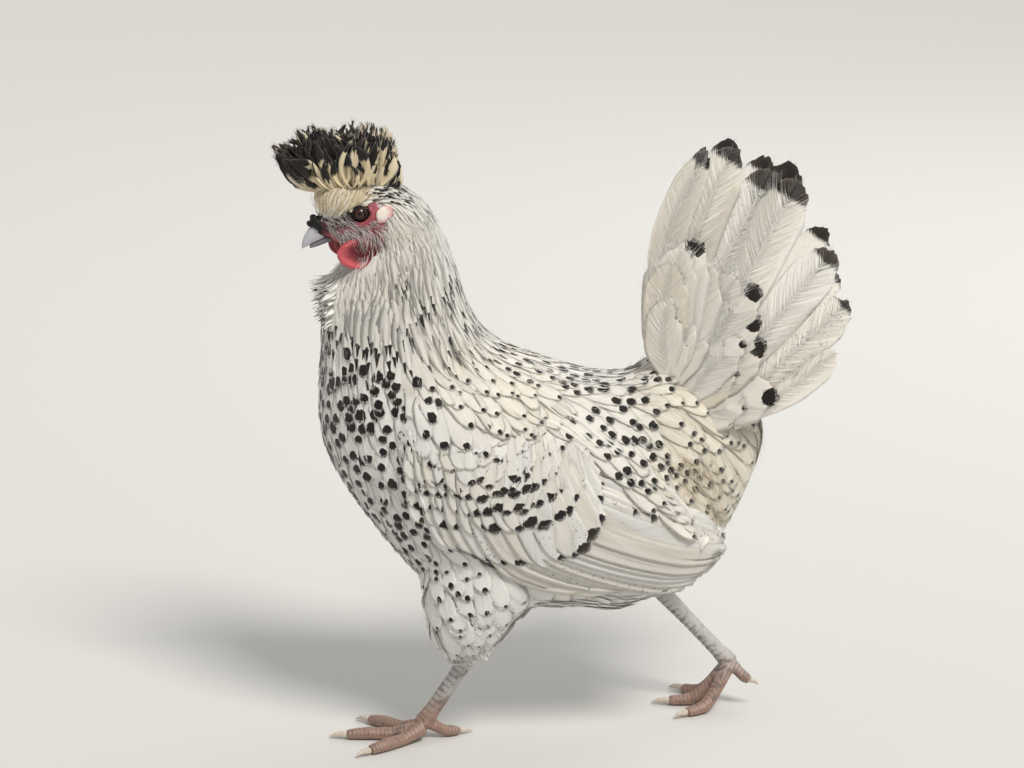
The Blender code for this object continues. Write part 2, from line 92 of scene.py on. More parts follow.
# Places on the left half of the hen, in millimetres from the middle of its box and the floor,
# with what the feathers rooted there are like. The right half mirrors them.
# x, y, z | the way the tips point | length, half width, depth of the coat | radius of the
# spangle, its stretch along the feather | cream | distance between roots
LIE = (
    # head
    (-154, -4, 350, 0.1, -0.25, 1.0, 10, 1.7, 1.6, 0.0, 1.0, 1.0, 1.8),
    (-146, -13, 350, 0.3, -0.2, 0.95, 11, 1.7, 1.8, 0.0, 1.0, 1.0, 1.8),
    (-132, -14, 358, 0.55, -0.1, 0.8, 11, 1.6, 1.8, 0.3, 2.5, 0.9, 2.0),
    (-116, -14, 359, 0.95, -0.1, 0.1, 12, 1.3, 1.9, 0.9, 3.0, 0.35, 2.3),
    (-104, -16, 356, 0.9, -0.1, -0.4, 14, 1.4, 2.0, 0.8, 3.5, 0.1, 2.5),
    (-104, -20, 342, 0.45, -0.15, -0.85, 15, 1.8, 2.2, 0.0, 2.5, 0.2, 2.5),
    (-112, -19, 330, 0.35, -0.2, -0.9, 13, 1.3, 1.6, 0.0, 2.5, 0.1, 2.3),
    (-128, -14, 322, 0.2, -0.2, -1.0, 12, 1.3, 1.6, 0.0, 2.0, 0.1, 2.4),
    # neck
    (-147, -6, 306, -0.5, -0.25, -0.9, 20, 2.8, 4.5, 0.0, 1.0, 0.0, 2.8),
    (-90, -8, 352, 0.7, -0.1, -0.75, 20, 1.8, 3.0, 0.9, 5.0, 0.0, 2.6),
    (-104, -24, 322, 0.12, -0.15, -1.0, 26, 2.9, 4.0, 0.0, 3.0, 0.35, 2.8),
    (-74, -12, 322, 0.3, -0.1, -1.0, 30, 3.0, 4.6, 1.2, 4.4, 0.0, 3.0),
    (-88, -30, 306, 0.15, -0.15, -1.0, 32, 3.4, 4.6, 0.5, 4.4, 0.25, 3.2),
    (-153, -10, 286, -0.15, -0.25, -1.0, 26, 4.0, 5.6, 1.2, 2.2, 0.0, 4.4),
    (-155, -11, 266, -0.08, -0.25, -1.0, 30, 5.0, 6.2, 2.8, 1.4, 0.0, 6.0),
    (-120, -42, 283, 0.0, -0.25, -1.0, 34, 4.2, 5.2, 1.2, 3.0, 0.3, 3.8),
    (-118, -50, 262, 0.02, -0.2, -1.0, 34, 5.0, 6.0, 2.9, 1.6, 0.15, 6.2),
    (-63, -14, 296, 0.4, -0.15, -1.0, 34, 3.8, 5.2, 1.5, 2.6, 0.0, 4.2),
    (-82, -45, 270, 0.25, -0.15, -1.0, 36, 4.2, 5.8, 2.4, 1.6, 0.15, 5.8),
    # breast
    (-155, -12, 240, -0.03, -0.2, -1.0, 34, 6.4, 6.5, 3.5, 1.15, 0.0, 6.4),
    (-128, -50, 225, 0.08, -0.15, -1.0, 34, 6.8, 6.2, 3.5, 1.1, 0.0, 6.8),
    (-98, -60, 236, 0.25, -0.1, -1.0, 34, 6.8, 6.8, 3.0, 1.15, 0.1, 7.0),
    (-100, -62, 198, 0.4, -0.1, -0.95, 34, 7.0, 6.8, 3.0, 1.15, 0.0, 6.8),
    (-150, -14, 195, 0.12, -0.15, -1.0, 34, 7.0, 6.5, 3.5, 1.05, 0.0, 6.8),
    (-120, -52, 180, 0.28, -0.1, -1.0, 34, 7.2, 6.4, 3.2, 1.1, 0.0, 6.8),
    (-128, -14, 150, 0.45, -0.1, -1.0, 34, 7.2, 6.5, 3.1, 1.1, 0.0, 7.0),
    (-105, -45, 130, 0.55, -0.1, -0.9, 34, 7.4, 6.4, 3.0, 1.1, 0.0, 7.2),
    # back and saddle
    (-60, -54, 247, 0.6, -0.15, -0.75, 34, 7.0, 6.8, 1.5, 1.1, 0.3, 7.4),
    (-48, -14, 268, 0.85, -0.1, -0.5, 34, 4.6, 6.0, 2.3, 1.5, 0.1, 5.8),
    (-15, -52, 238, 0.7, -0.15, -0.7, 36, 7.0, 6.8, 1.1, 1.2, 0.4, 7.4),
    (-10, -15, 247, 1.0, -0.1, -0.15, 34, 5.8, 6.0, 2.4, 1.3, 0.2, 5.8),
    (30, -12, 238, 1.0, -0.1, -0.05, 36, 5.4, 6.5, 2.7, 1.3, 0.1, 5.2),
    (45, -45, 205, 0.75, -0.15, -0.65, 38, 5.6, 7.0, 2.5, 1.25, 0.15, 5.4),
    (88, -35, 190, 0.8, -0.2, -0.6, 42, 6.6, 8.0, 1.8, 1.2, 0.45, 6.0),
    (66, -8, 258, 0.5, -0.1, 0.8, 40, 7.0, 6.0, 2.2, 1.2, 0.2, 6.4),
    (95, -22, 225, 0.95, -0.15, -0.2, 42, 8.0, 7.0, 1.3, 1.1, 0.45, 6.4),
    # belly, vent and flanks
    (-95, -12, 108, 0.9, -0.05, -0.5, 36, 7.4, 7.0, 2.4, 1.1, 0.0, 9.6),
    (-55, -15, 90, 1.0, 0.0, -0.1, 38, 7.0, 8.0, 1.2, 1.1, 0.0, 9.0),
    (0, -20, 82, 1.0, 0.0, 0.05, 40, 7.0, 8.0, 0.9, 1.1, 0.0, 9.0),
    (60, -20, 92, 0.9, -0.1, 0.3, 42, 6.6, 8.0, 0.8, 1.1, 0.1, 9.0),
    (115, -12, 160, 0.7, -0.15, -0.6, 42, 6.0, 8.0, 1.2, 1.1, 0.5, 7.4),
    (-40, -62, 140, 0.8, -0.1, -0.5, 34, 7.2, 6.0, 1.4, 1.1, 0.0, 7.6),
    (40, -52, 130, 0.9, -0.1, -0.2, 38, 6.6, 7.0, 1.2, 1.1, 0.1, 9.6),
    # thighs
    (-50, -58, 110, 0.3, -0.1, -1.0, 32, 7.4, 5.0, 1.8, 1.1, 0.0, 7.0),
    (-85, -40, 100, 0.5, 0.0, -1.0, 30, 6.8, 5.0, 2.1, 1.1, 0.0, 8.0),
    (-20, -40, 100, 0.6, -0.1, -0.7, 34, 7.0, 6.0, 0.8, 1.1, 0.0, 6.8),
    (-60, -46, 68, 0.2, -0.05, -1.0, 18, 3.8, 3.0, 0.9, 1.2, 0.0, 4.4),
    (20, -50, 105, 0.8, -0.1, -0.6, 32, 6.8, 5.0, 0.9, 1.1, 0.0, 8.6),
    (50, -42, 90, 0.9, 0.0, -0.4, 18, 3.8, 3.0, 0.6, 1.2, 0.0, 4.4),
)
LENGTH, WIDTH, DEPTH, SPANGLE, STRETCH, CREAM, SPACING = range(7)
BLEND = 60  # square millimetres over which one place of LIE gives way to the next
MIDLINE = 9  # millimetres from the hen's middle within which feathers turn to lie straight back


def smooth(low, high, x):
    """0 below low, 1 above high, and an S-curve between."""
    t = np.clip((x - low) / (high - low), 0, 1)
    return t * t * (3 - 2 * t)


def swung(vectors, angle, axis_x=0.0):
    """Vectors turned about an upright axis."""
    x, y, z = np.moveaxis(np.asarray(vectors, float), -1, 0)
    c, s, x = np.cos(angle), np.sin(angle), x - axis_x
    return np.stack([axis_x + x * c - y * s, x * s + y * c, z], axis=-1)


def up_neck(points):
    """How far up the forward slope of the neck points lie."""
    return 0.6 * points[..., 2] - 0.8 * points[..., 0]


def head_angle(points):
    """The head's turn at each point, fading out down the neck."""
    return HEAD_TURN * smooth(TURN_FROM, TURN_TO, up_neck(points))


def head_turned(points):
    """Points of the head's straight lie after its turn."""
    points = np.asarray(points, float)
    return swung(points, head_angle(points), TURN_AXIS_X)


def straightened(points):
    """Points put back in the head's straight lie, in millimetres."""
    return swung(points, -head_angle(points), TURN_AXIS_X) / MM


def lie_of(points):
    """The way feathers point at some points, and the seven values of LIE there."""
    table = np.array(LIE)
    half = straightened(points)
    side = np.where(half[:, 1] < 0, 1.0, -1.0)
    half[:, 1] = -np.abs(half[:, 1])
    apart = ((half[:, None, :] - table[None, :, :3]) ** 2).sum(axis=2)
    weight = 1 / (apart + BLEND) ** 2
    weight /= weight.sum(axis=1, keepdims=True)
    way = weight @ unit(table[:, 3:6])
    way[:, 1] *= side * np.tanh(-half[:, 1] / MIDLINE)
    return swung(way, head_angle(points)), weight @ table[:, 6:]


# ---------------------------------------------------------------- meshes

PATCH = 0.003  # side of one feather's patch on the bake map
# What the material of a feather reads, where a piece says nothing else: the spangle's radius in
# millimetres, its stretch along the feather and its middle's distance from the tip in radii, the
# length of a dark tip in millimetres, flecks, cream, and the slant of the barbs
PLAIN = {"spangle": 0, "stretch": 1, "inset": 0.9, "dip": 0, "fleck": 0, "cream": 0, "slant": 0.5}


def unit(vectors):
    return vectors / np.maximum(np.linalg.norm(vectors, axis=-1, keepdims=True), 1e-12)


def pulled(items, key, width=1, kind=np.float32):
    """One property of all items of a collection, with a row for each."""
    values = np.empty(len(items) * width, kind)
    items.foreach_get(key, values)
    return values if width == 1 else values.reshape(-1, width)


def points_of(obj):
    return pulled(obj.data.vertices, "co", 3).astype(float)


def normals_of(obj):
    return pulled(obj.data.vertices, "normal", 3).astype(float)


def set_points(obj, points):
    obj.data.vertices.foreach_set("co", np.ascontiguousarray(points, np.float32).ravel())
    obj.data.update()


def set_value(obj, key, value):
    """Gives each point its value, or all of them one, for the material to read."""
    values = np.broadcast_to(np.ravel(value), len(obj.data.vertices))
    made = obj.data.attributes.new(key, "FLOAT", "POINT")
    made.data.foreach_set("value", np.ascontiguousarray(values, np.float32))


def mesh_object(name, points, corners, sizes, flat=None):
    """An object from arrays: points, the corners of all faces in a row, how many each face has,
    and which faces stay flat beside smooth ones."""
    mesh = bpy.data.meshes.new(name)
    mesh.vertices.add(len(points))
    mesh.vertices.foreach_set("co", np.ascontiguousarray(points, np.float32).ravel())
    mesh.loops.add(len(corners))
    mesh.loops.foreach_set("vertex_index", np.ascontiguousarray(corners, np.int32))
    mesh.polygons.add(len(sizes))
    starts = np.concatenate([[0], np.cumsum(sizes)[:-1]])
    mesh.polygons.foreach_set("loop_start", starts.astype(np.int32))
    mesh.update(calc_edges=True)
    mesh.shade_smooth()
    if flat is not None:
        mesh.polygons.foreach_set("use_smooth", ~flat)
    obj = bpy.data.objects.new(name, mesh)
    bpy.context.scene.collection.objects.link(obj)
    return obj


def many_alike(name, points, corners, sizes, spread, values, places, patch, flat=None):
    """One object of many like forms. points has a row for each form, corners and sizes are one
    form's faces, spread the values that change over a form and values those that don't, places the
    forms' places on the bake map, and patch a form's own points there."""
    count, each = points.shape[:2]
    corners = (np.ravel(corners) + np.arange(count)[:, None] * each).reshape(-1)
    obj = mesh_object(name, points.reshape(-1, 3), corners, np.tile(sizes, count),
                      None if flat is None else np.tile(flat, count))
    for key, value in spread.items():
        set_value(obj, key, value)
    for key, value in values.items():
        set_value(obj, key, np.repeat(np.broadcast_to(value, count), each))
    layer = obj.data.uv_layers.new(name="OFBake")
    on_map = (places[:, None] + patch[None] * PATCH).reshape(-1, 2)
    layer.uv.foreach_set("vector", np.ascontiguousarray(on_map[corners], np.float32).ravel())
    return obj


def relax(points, obj, rounds, weight=None):
    """Laplacian smoothing of the points over the object's edges."""
    a, b = pulled(obj.data.edges, "vertices", 2, np.int32).T
    count = np.maximum(np.bincount(a, minlength=len(points)) + np.bincount(b, minlength=len(points)), 1)
    for _ in range(rounds):
        total = [np.bincount(a, row[b], len(row)) + np.bincount(b, row[a], len(row)) for row in points.T]
        step = (np.stack(total, axis=1) / count[:, None] - points) * 0.5
        points = points + (step if weight is None else step * weight[:, None])
    return points


def apply_modifier(obj, kind, **settings):
    """Runs one modifier on an object and keeps its result as the mesh."""
    made = obj.modifiers.new(kind.lower(), kind)
    for key, value in settings.items():
        setattr(made, key, value)
    graph = bpy.context.evaluated_depsgraph_get()
    result = bpy.data.meshes.new_from_object(obj.evaluated_get(graph))
    obj.modifiers.clear()
    old = obj.data
    obj.data = result
    bpy.data.meshes.remove(old)


def ball_mesh(middle, axes, rings=16, around=24):
    """Points, corners and sizes of an ellipsoid, axes being its three half axes as vectors."""
    tilt, turn = np.meshgrid(np.linspace(0, math.pi, rings + 1), np.arange(around) * 2 * math.pi / around,
                             indexing="ij")
    ball = np.stack([np.sin(tilt) * np.cos(turn), np.sin(tilt) * np.sin(turn), np.cos(tilt)], axis=-1)
    i, j = np.meshgrid(np.arange(rings) * around, np.arange(around), indexing="ij")
    k = (j + 1) % around
    corners = np.stack([i + j, i + around + j, i + around + k, i + k], axis=-1)
    points = np.array(middle) + ball.reshape(-1, 3) @ np.array(axes, float)
    return points, corners.ravel(), np.full(i.size, 4)


def joined_copy(name, nodes, voxel, rounds, balls=(), hold=None):
    """One smooth closed mesh round copies of the named solids, and round some ellipsoids. hold
    gives how firmly points stay where they are while the rest is smoothed."""
    parts = [ball_mesh(*ball) for ball in balls]
    for node in nodes:
        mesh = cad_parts[node].data
        parts.append((pulled(mesh.vertices, "co", 3), pulled(mesh.loops, "vertex_index", kind=np.int32),
                      pulled(mesh.polygons, "loop_total", kind=np.int32)))
    shifts = np.cumsum([0] + [len(part[0]) for part in parts])
    obj = mesh_object(name, np.concatenate([part[0] for part in parts]),
                      np.concatenate([part[1] + shift for part, shift in zip(parts, shifts)]),
                      np.concatenate([part[2] for part in parts]))
    apply_modifier(obj, "WELD", merge_threshold=0.01 * MM)
    apply_modifier(obj, "REMESH", mode="VOXEL", voxel_size=voxel)
    points = points_of(obj)
    set_points(obj, relax(points, obj, rounds, None if hold is None else 1 - hold(points)))
    obj.data.shade_smooth()
    return obj


def surface_of(obj):
    return BVHTree.FromPolygons([tuple(v.co) for v in obj.data.vertices],
                                [tuple(p.vertices) for p in obj.data.polygons])


def nearest(surface, points):
    """The nearest points of a surface, with its normals there."""
    found = [surface.find_nearest(Vector(p)) for p in points]
    return np.array([f[0] for f in found]), np.array([f[1] for f in found])


def scattered(obj, spacing_of, keep, seed, tries=9):
    """Points spread over an object's surface, no two nearer than the local spacing."""
    rng = np.random.default_rng(seed)
    obj.data.calc_loop_triangles()
    corners = points_of(obj)[pulled(obj.data.loop_triangles, "vertices", 3, np.int32)]
    edge, other = corners[:, 1] - corners[:, 0], corners[:, 2] - corners[:, 0]
    area, middle = np.linalg.norm(np.cross(edge, other), axis=1) / 2, corners.mean(axis=1)
    space = spacing_of(middle)
    chance = area / space**2 * keep(middle)
    count = int(chance.sum() * tries)
    picked = rng.choice(len(chance), count, p=chance / chance.sum())
    u, v = rng.random(count), rng.random(count)
    u, v = np.where(u + v > 1, 1 - u, u), np.where(u + v > 1, 1 - v, v)
    places = corners[picked, 0] + edge[picked] * u[:, None] + other[picked] * v[:, None]
    tree = KDTree(count)
    for i, place in enumerate(places):
        tree.insert(place, i)
    tree.balance()
    kept, crowded = np.zeros(count, bool), np.zeros(count, bool)
    for i in range(count):
        if not crowded[i]:
            kept[i] = True
            for _, j, _ in tree.find_range(places[i], space[picked[i]]):
                crowded[j] = crowded[j] or not kept[j]
    return places[kept]


def traced(roots, surface, lengths, steps, wander, seed, way_of=None):
    """Shafts laid over a surface from their roots, with its normal at each point of them."""
    rng = np.random.default_rng(seed)
    at, normal = nearest(surface, roots)
    turn = rng.normal(0, wander, len(roots))[:, None]
    line, normals = [at], [normal]
    for _ in range(steps):
        way = way_of(at) if way_of else lie_of(at)[0]
        way = unit(way - normal * (way * normal).sum(axis=1, keepdims=True))
        way = way * np.cos(turn) + np.cross(normal, way) * np.sin(turn)
        at, fresh = nearest(surface, at + way * (lengths / steps)[:, None])
        normal = unit(normal * 0.4 + fresh * 0.6)
        line.append(at)
        normals.append(normal)
    return np.stack(line, axis=1), np.stack(normals, axis=1)


def vane_template(rows, columns):
    """Faces of one closed vane: a grid above, a grid below, and one shared rim."""
    above = np.arange((rows + 1) * (columns + 1)).reshape(rows + 1, columns + 1)
    below = above.copy()
    below[1:-1, 1:-1] = above.size + np.arange((rows - 1) * (columns - 1)).reshape(rows - 1, columns - 1)
    faces = []
    for grid, way in ((above, 1), (below, -1)):
        square = np.stack([grid[:-1, :-1], grid[1:, :-1], grid[1:, 1:], grid[:-1, 1:]], axis=-1)
        faces.append(square[..., ::way].reshape(-1, 4))
    return np.stack(faces, axis=1).reshape(-1, 4), above[1:-1, 1:-1].ravel()


def vanes(name, shafts, normals, widths, shape, places, values, columns=4, camber=0.07, thick=0.35 * MM,
          ridge=0.0, ragged=0.0, roll=0.0, tip=0.8, seed=2):
    """Closed vanes along shafts. shape gives the half width, as a share, at places along; tip is
    how far the edges fall back at the end, as a share of the half width."""
    rng = np.random.default_rng(seed)
    count, rows = len(shafts), shafts.shape[1] - 1
    ahead = unit(np.gradient(shafts, axis=1))
    side = unit(np.cross(normals, ahead))
    up = unit(np.cross(ahead, side))
    lean = rng.normal(0, roll, count)[:, None, None]
    side, up = side * np.cos(lean) + up * np.sin(lean), up * np.cos(lean) - side * np.sin(lean)
    rng.random(4 * count * (rows + 1))  # passed over, so that the draws below stay as they are
    along, u = np.linspace(0, 1, rows + 1), np.linspace(-1, 1, columns + 1)
    t, wide = along[:, None], widths[:, None, None]
    half = wide * shape(t) * u
    fray = rng.normal(0, 1, half.shape) * ragged * np.abs(u) * smooth(0.3, 0.9, t)
    fray[:, -1] += rng.normal(0, 1, half[:, -1].shape) * ragged
    sweep = wide * tip * u**2 * smooth(0.55, 1, t)
    crown = ridge * np.clip(1 - np.abs(u) * 6, 0, 1) - wide * camber * u**2 * smooth(0, 0.4, t)
    grid = (shafts[:, :, None] + side[:, :, None] * half[..., None]
            + ahead[:, :, None] * (fray - sweep)[..., None] + up[:, :, None] * crown[..., None])
    lower = grid - up[:, :, None] * (thick * (1 - u**2))[:, None]
    length = np.linalg.norm(np.diff(shafts, axis=1), axis=2).sum(axis=1)
    from_tip = (length[:, None, None] * (1 - t) + sweep - fray) / MM
    faces, inner = vane_template(rows, columns)

    def both_sides(over, under):
        over, under = (a.reshape(count, -1, *a.shape[3:]) for a in (over, under))
        return np.concatenate([over, under[:, inner]], axis=1)

    patch = np.stack(np.meshgrid(along - 0.5, u * 0.5, indexing="ij"), axis=-1).reshape(-1, 2)
    spread = {"from_tip": both_sides(from_tip, from_tip), "across": both_sides(half / MM, half / MM)}
    return many_alike(name, both_sides(grid, lower), faces, np.full(len(faces), 4), spread,
                      {**PLAIN, **values}, places, np.concatenate([patch, patch[inner]]),
                      np.arange(len(faces)) % 2 == 1)


def unrolled(points, start, end):
    """Places of points on the skin unrolled round an axis, spread over the whole map."""
    start, end = np.array(start, float) * MM, np.array(end, float) * MM
    axis = unit(end - start)
    level = unit(np.cross(axis, [0.0, 1.0, 0.0]))
    away = points - start
    places = np.stack([np.arctan2(away @ np.cross(axis, level), away @ level), away @ axis], axis=1)
    low, high = places.min(axis=0), places.max(axis=0)
    return 0.01 + (places - low) / (high - low) * 0.98


def in_rows(count):
    """Places on the map for a count of loose feathers, seven to a column."""
    order = np.arange(count)
    return np.stack([(order + 0.5) / count * 0.9 + 0.05, (order % 7) / 7 + 0.06], axis=1)


def strands(name, paths, radii, places, values):
    """Fine closed strands with three sides, running out to a point."""
    count, rows = len(paths), paths.shape[1] - 1
    ahead = unit(np.gradient(paths, axis=1))
    level = unit(np.cross(ahead, np.array([0.31, 0.2, 0.93])))
    up = np.cross(level, ahead)
    along = np.linspace(0, 1, rows + 1)[:-1]
    turns = [2 * math.pi * k / 3 for k in range(3)]
    rings = np.stack([level * math.cos(a) + up * math.sin(a) for a in turns], axis=2)[:, :-1]
    rings = rings * (1 - along**1.6)[None, :, None, None] * radii[:, None, None, None]
    points = np.concatenate([(paths[:, :-1, None] + rings).reshape(count, -1, 3), paths[:, -1:]], axis=1)
    corners, sizes = [0, 1, 2], [3] + [4] * (rows - 1) * 3 + [3] * 3
    for low in range(0, rows * 3, 3):
        for k in range(3):
            n = (k + 1) % 3
            if low < rows * 3 - 3:
                corners += [low + k, low + 3 + k, low + 3 + n, low + n]
            else:
                corners += [low + k, rows * 3, low + n]
    along = np.append(np.repeat(along, 3), 1.0)
    patch = np.stack([along - 0.5, np.append(np.tile([-0.5, 0.0, 0.5], rows), 0.0)], axis=1)
    return many_alike(name, points, corners, sizes, {"along": np.tile(along, count)}, values, places, patch)


def fringe(name, lines, normals, widths, each, reach, tone, places, seed, radius=0.1 * MM, inset=1.4 * MM):
    """Loose barbs that break up the ends of vanes, each vane's as dark or pale as its tone."""
    rng = np.random.default_rng(seed)
    owner = np.repeat(np.arange(len(lines)), each)
    count = len(owner)
    across = rng.uniform(-0.9, 0.9, count)[:, None]
    end, up = lines[owner, -1], unit(normals[owner, -1])
    ahead = unit(end - lines[owner, -3])
    side = unit(np.cross(up, ahead))
    wide = widths[owner][:, None]
    start = end + side * across * wide * 0.72 - ahead * (wide * 0.42 * across**2 + inset) + up * 0.05 * MM
    way = unit(ahead + side * (0.45 * across + rng.normal(0, 0.16, (count, 1))) + up * 0.06)
    long = reach * rng.uniform(0.5, 1.2, count)[:, None]
    paths = start[:, None] + (way * long)[:, None] * np.linspace(0, 1, 3)[None, :, None]
    return strands(name, paths, np.full(count, radius), places[owner], {"tone": tone[owner]})


def barbs(name, lines, ups, widths, shape, pitch, camber, dips, bald, places, seed):
    """Barbs that run out from both sides of each shaft to a little past the edge of its vane: dark
    nearer the tip than dips, and none nearer it than bald, both in millimetres."""
    rng = np.random.default_rng(seed)
    paths, tones, owners = [], [], []
    run = np.linspace(0, 1, 5)[:, None]
    for owner, (line, up, wide, dip, end) in enumerate(zip(lines, ups, widths, dips, bald)):
        length = np.linalg.norm(np.diff(line, axis=0), axis=1).sum()
        ahead = unit(np.gradient(line, axis=0))
        for at in np.arange(0.12, 0.99 - end * MM / length, pitch / length):
            i = at * (len(line) - 1)
            low = min(int(i), len(line) - 2)
            start = line[low] + (line[low + 1] - line[low]) * (i - low)
            side = unit(np.cross(up[low], ahead[low]))
            edge = wide * float(shape(np.array([min(at + 0.08, 1.0)]))[0])
            for hand in (-1, 1):
                lean = math.radians(rng.normal(38, 4))
                reach = edge / math.sin(lean) * rng.uniform(0.93, 1.09) * (1 - 0.72 * smooth(0.8, 1.0, at))
                share = run * reach * math.sin(lean) / wide
                path = start + ahead[low] * run * reach * math.cos(lean) * (0.85 + 0.3 * run)
                path = path + side * hand * run * reach * math.sin(lean)
                path = path + unit(np.cross(ahead[low], side)) * (0.35 * MM - camber * wide * share**2)
                from_tip = (1 - at) * length - 0.5 * reach * math.cos(lean)
                paths.append(path)
                tones.append(rng.uniform(0.75, 1.0) * (from_tip > dip * MM + rng.normal(0, 1.5) * MM))
                owners.append(owner)
    return strands(name, np.array(paths), np.full(len(paths), 0.17 * MM), places[owners], {"tone": tones})


def finish_piece(obj, material, slot, *nodes):
    """Puts a finished piece on the hen in place of some of its solids."""
    obj.data.materials.clear()
    obj.data.materials.append(material)
    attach(obj, "root")
    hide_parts(*nodes)


# ---------------------------------------------------------------- materials


def linear(code):
    """A six-digit sRGB hex colour as linear red, green, blue and alpha."""
    parts = [int(code[i:i + 2], 16) / 255 for i in (0, 2, 4)]
    return (*[c / 12.92 if c <= 0.04045 else ((c + 0.055) / 1.055) ** 2.4 for c in parts], 1.0)


# Nodes by the names they go by here: type, settings, what the feeds fill in order, and the output
# that is used. Every other name is an operation of a Math node.
NODES = {
    "value": ("Attribute", {}, ("attribute_name",), "Fac"),
    "place": ("TexCoord", {}, (), "Object"),
    "noise": ("TexNoise", {}, ("Vector", "Scale", "Detail", "Roughness"), "Fac"),
    "cells": ("TexVoronoi", {}, ("Vector", "Scale"), "Distance"),
    "stretched": ("Mapping", {}, ("Vector", "Scale"), 0),
    "join": ("CombineXYZ", {}, (0, 1, 2), 0),
    "height": ("SeparateXYZ", {}, (0,), 2),
    "mix": ("Mix", {"data_type": "RGBA"}, (0, 6, 7), 2),
    "step": ("MapRange", {"interpolation_type": "SMOOTHSTEP"}, (0, 1, 2), 0),
    "bump": ("Bump", {}, ("Height", "Distance", "Strength"), 0),
}


def add_node(tree, kind, *feeds, **settings):
    """Adds one node, feeds it links, numbers and hex colours, and gives the output that is used."""
    sort, fixed, keys, output = NODES.get(kind, ("Math", {"operation": kind}, (0, 1, 2), 0))
    node = tree.nodes.new("ShaderNode" + sort)
    for key, value in {**fixed, **settings}.items():
        setattr(node, key, value)
    for key, value in zip(keys, feeds):
        if isinstance(value, bpy.types.NodeSocket):
            tree.links.new(value, node.inputs[key])
        elif key == "attribute_name":
            node.attribute_name = value
        else:
            node.inputs[key].default_value = linear(value) if isinstance(value, str) else value
    return node.outputs[output]


def new_material(name, roughness, **sockets):
    """Starts a material whose uniform values sit on its Principled shader. Gives the call that adds
    its nodes and the one that ends it with the shader's colour and bump."""
    made = bpy.data.materials.new(name)
    made.use_nodes = True
    tree = made.node_tree
    shader = tree.nodes["Principled BSDF"]
    shader.inputs["Roughness"].default_value = roughness
    for key, value in sockets.items():
        shader.inputs[key.replace("_", " ").title().replace("Ior", "IOR")].default_value = value

    def end(colour, bump=None):
        tree.links.new(colour, shader.inputs["Base Color"])
        if bump:
            tree.links.new(bump, shader.inputs["Normal"])
        return made

    return partial(add_node, tree), end


BARB = 0.8  # millimetres between the barbs that show, drawn coarser than the real 0.3
NEUTRAL = {"subsurface_radius": (1.0, 1.0, 1.0)}  # light spreads in white feather with no tint


def feather_keratin(name, pale, cream, dark, brown, grey, shaft="F7F2E4", barb=BARB, downy=(14, 40),
                    barb_gap_shade=0.6):
    """Feather keratin: matt barbs either side of a horn shaft, with a dark spangle near the tip.

    Barbs give the eye fine slanting lines and ragged edges to each mark; the white comes from
    air in the keratin, so it is bright and has almost no gloss. downy is where the grey of the
    root begins and is full, in millimetres from the tip, and the last argument how grey the
    painted shade in the gaps of barbs is.
    """
    put, end = new_material(name, 0.62, sheen_weight=0.2, sheen_roughness=0.5, ior=1.54,
                            specular_ior_level=0.2, subsurface_weight=0.4, subsurface_scale=0.003,
                            **NEUTRAL)
    tip, across, luck = (put("value", key) for key in ("from_tip", "across", "luck"))
    spangle, dip = put("value", "spangle"), put("value", "dip")
    out = put("ABSOLUTE", across)
    shift = put("MULTIPLY", luck, 97.0)
    line = put("MULTIPLY", put("MULTIPLY_ADD", tip, put("value", "slant"), out), 1 / barb)
    barbs = put("noise", put("join", line, shift, put("MULTIPLY", across, 0.02)), 1.0, 1.0)
    wide = put("join", tip, across, shift)
    # the spangle, its rim pulled about along the barbs
    size = put("MAXIMUM", spangle, 0.02)
    tall = put("MULTIPLY", size, put("value", "stretch"))
    centre = put("MULTIPLY_ADD", tall, put("value", "inset"), 0.2)
    down, over = put("DIVIDE", put("SUBTRACT", tip, centre), tall), put("DIVIDE", across, size)
    rim = put("SQRT", put("ADD", put("MULTIPLY", down, down), put("MULTIPLY", over, over)))
    rim = put("MULTIPLY_ADD", put("SUBTRACT", barbs, 0.5), 0.45, rim)
    rim = put("MULTIPLY_ADD", put("SUBTRACT", put("noise", wide, 0.3, 1.0), 0.5), 0.8, rim)
    spot = put("MULTIPLY", put("step", rim, 1.08, 0.94), put("step", spangle, 0.25, 0.55))
    # the dark tip of crest and tail feathers, and flecks
    edge = put("SUBTRACT", put("MULTIPLY_ADD", barbs, 7.0, tip), dip)
    tipped = put("MULTIPLY", put("step", edge, 5.0, 2.0), put("step", dip, 0.5, 1.5))
    flecks = put("step", put("noise", wide, 0.55, 1.0), 0.64, 0.68)
    flecks = put("MULTIPLY", flecks, put("value", "fleck"))
    mark = put("MAXIMUM", put("MAXIMUM", spot, tipped), flecks)
    # ground: white to cream, greyer towards the downy root, with painted shade in the gaps between barbs,
    # and a paler shaft
    blotch = put("MULTIPLY_ADD", put("noise", wide, 0.16), 0.8, 0.6)
    ground = put("mix", put("MULTIPLY", put("value", "cream"), blotch, use_clamp=True), pale, cream)
    ground = put("mix", put("MULTIPLY", put("step", tip, *downy), 0.4), ground, grey)
    ground = put("mix", put("MULTIPLY", put("step", barbs, 0.46, 0.25), barb_gap_shade), ground, grey)
    quill = put("step", out, 0.55, 0.25)
    ground = put("mix", put("MULTIPLY", quill, 0.7), ground, shaft)
    colour = put("mix", mark, ground, put("mix", put("MULTIPLY", luck, luck), dark, brown))
    return end(colour, put("bump", put("MULTIPLY_ADD", quill, 0.7, barbs), 0.15 * MM, 0.25))


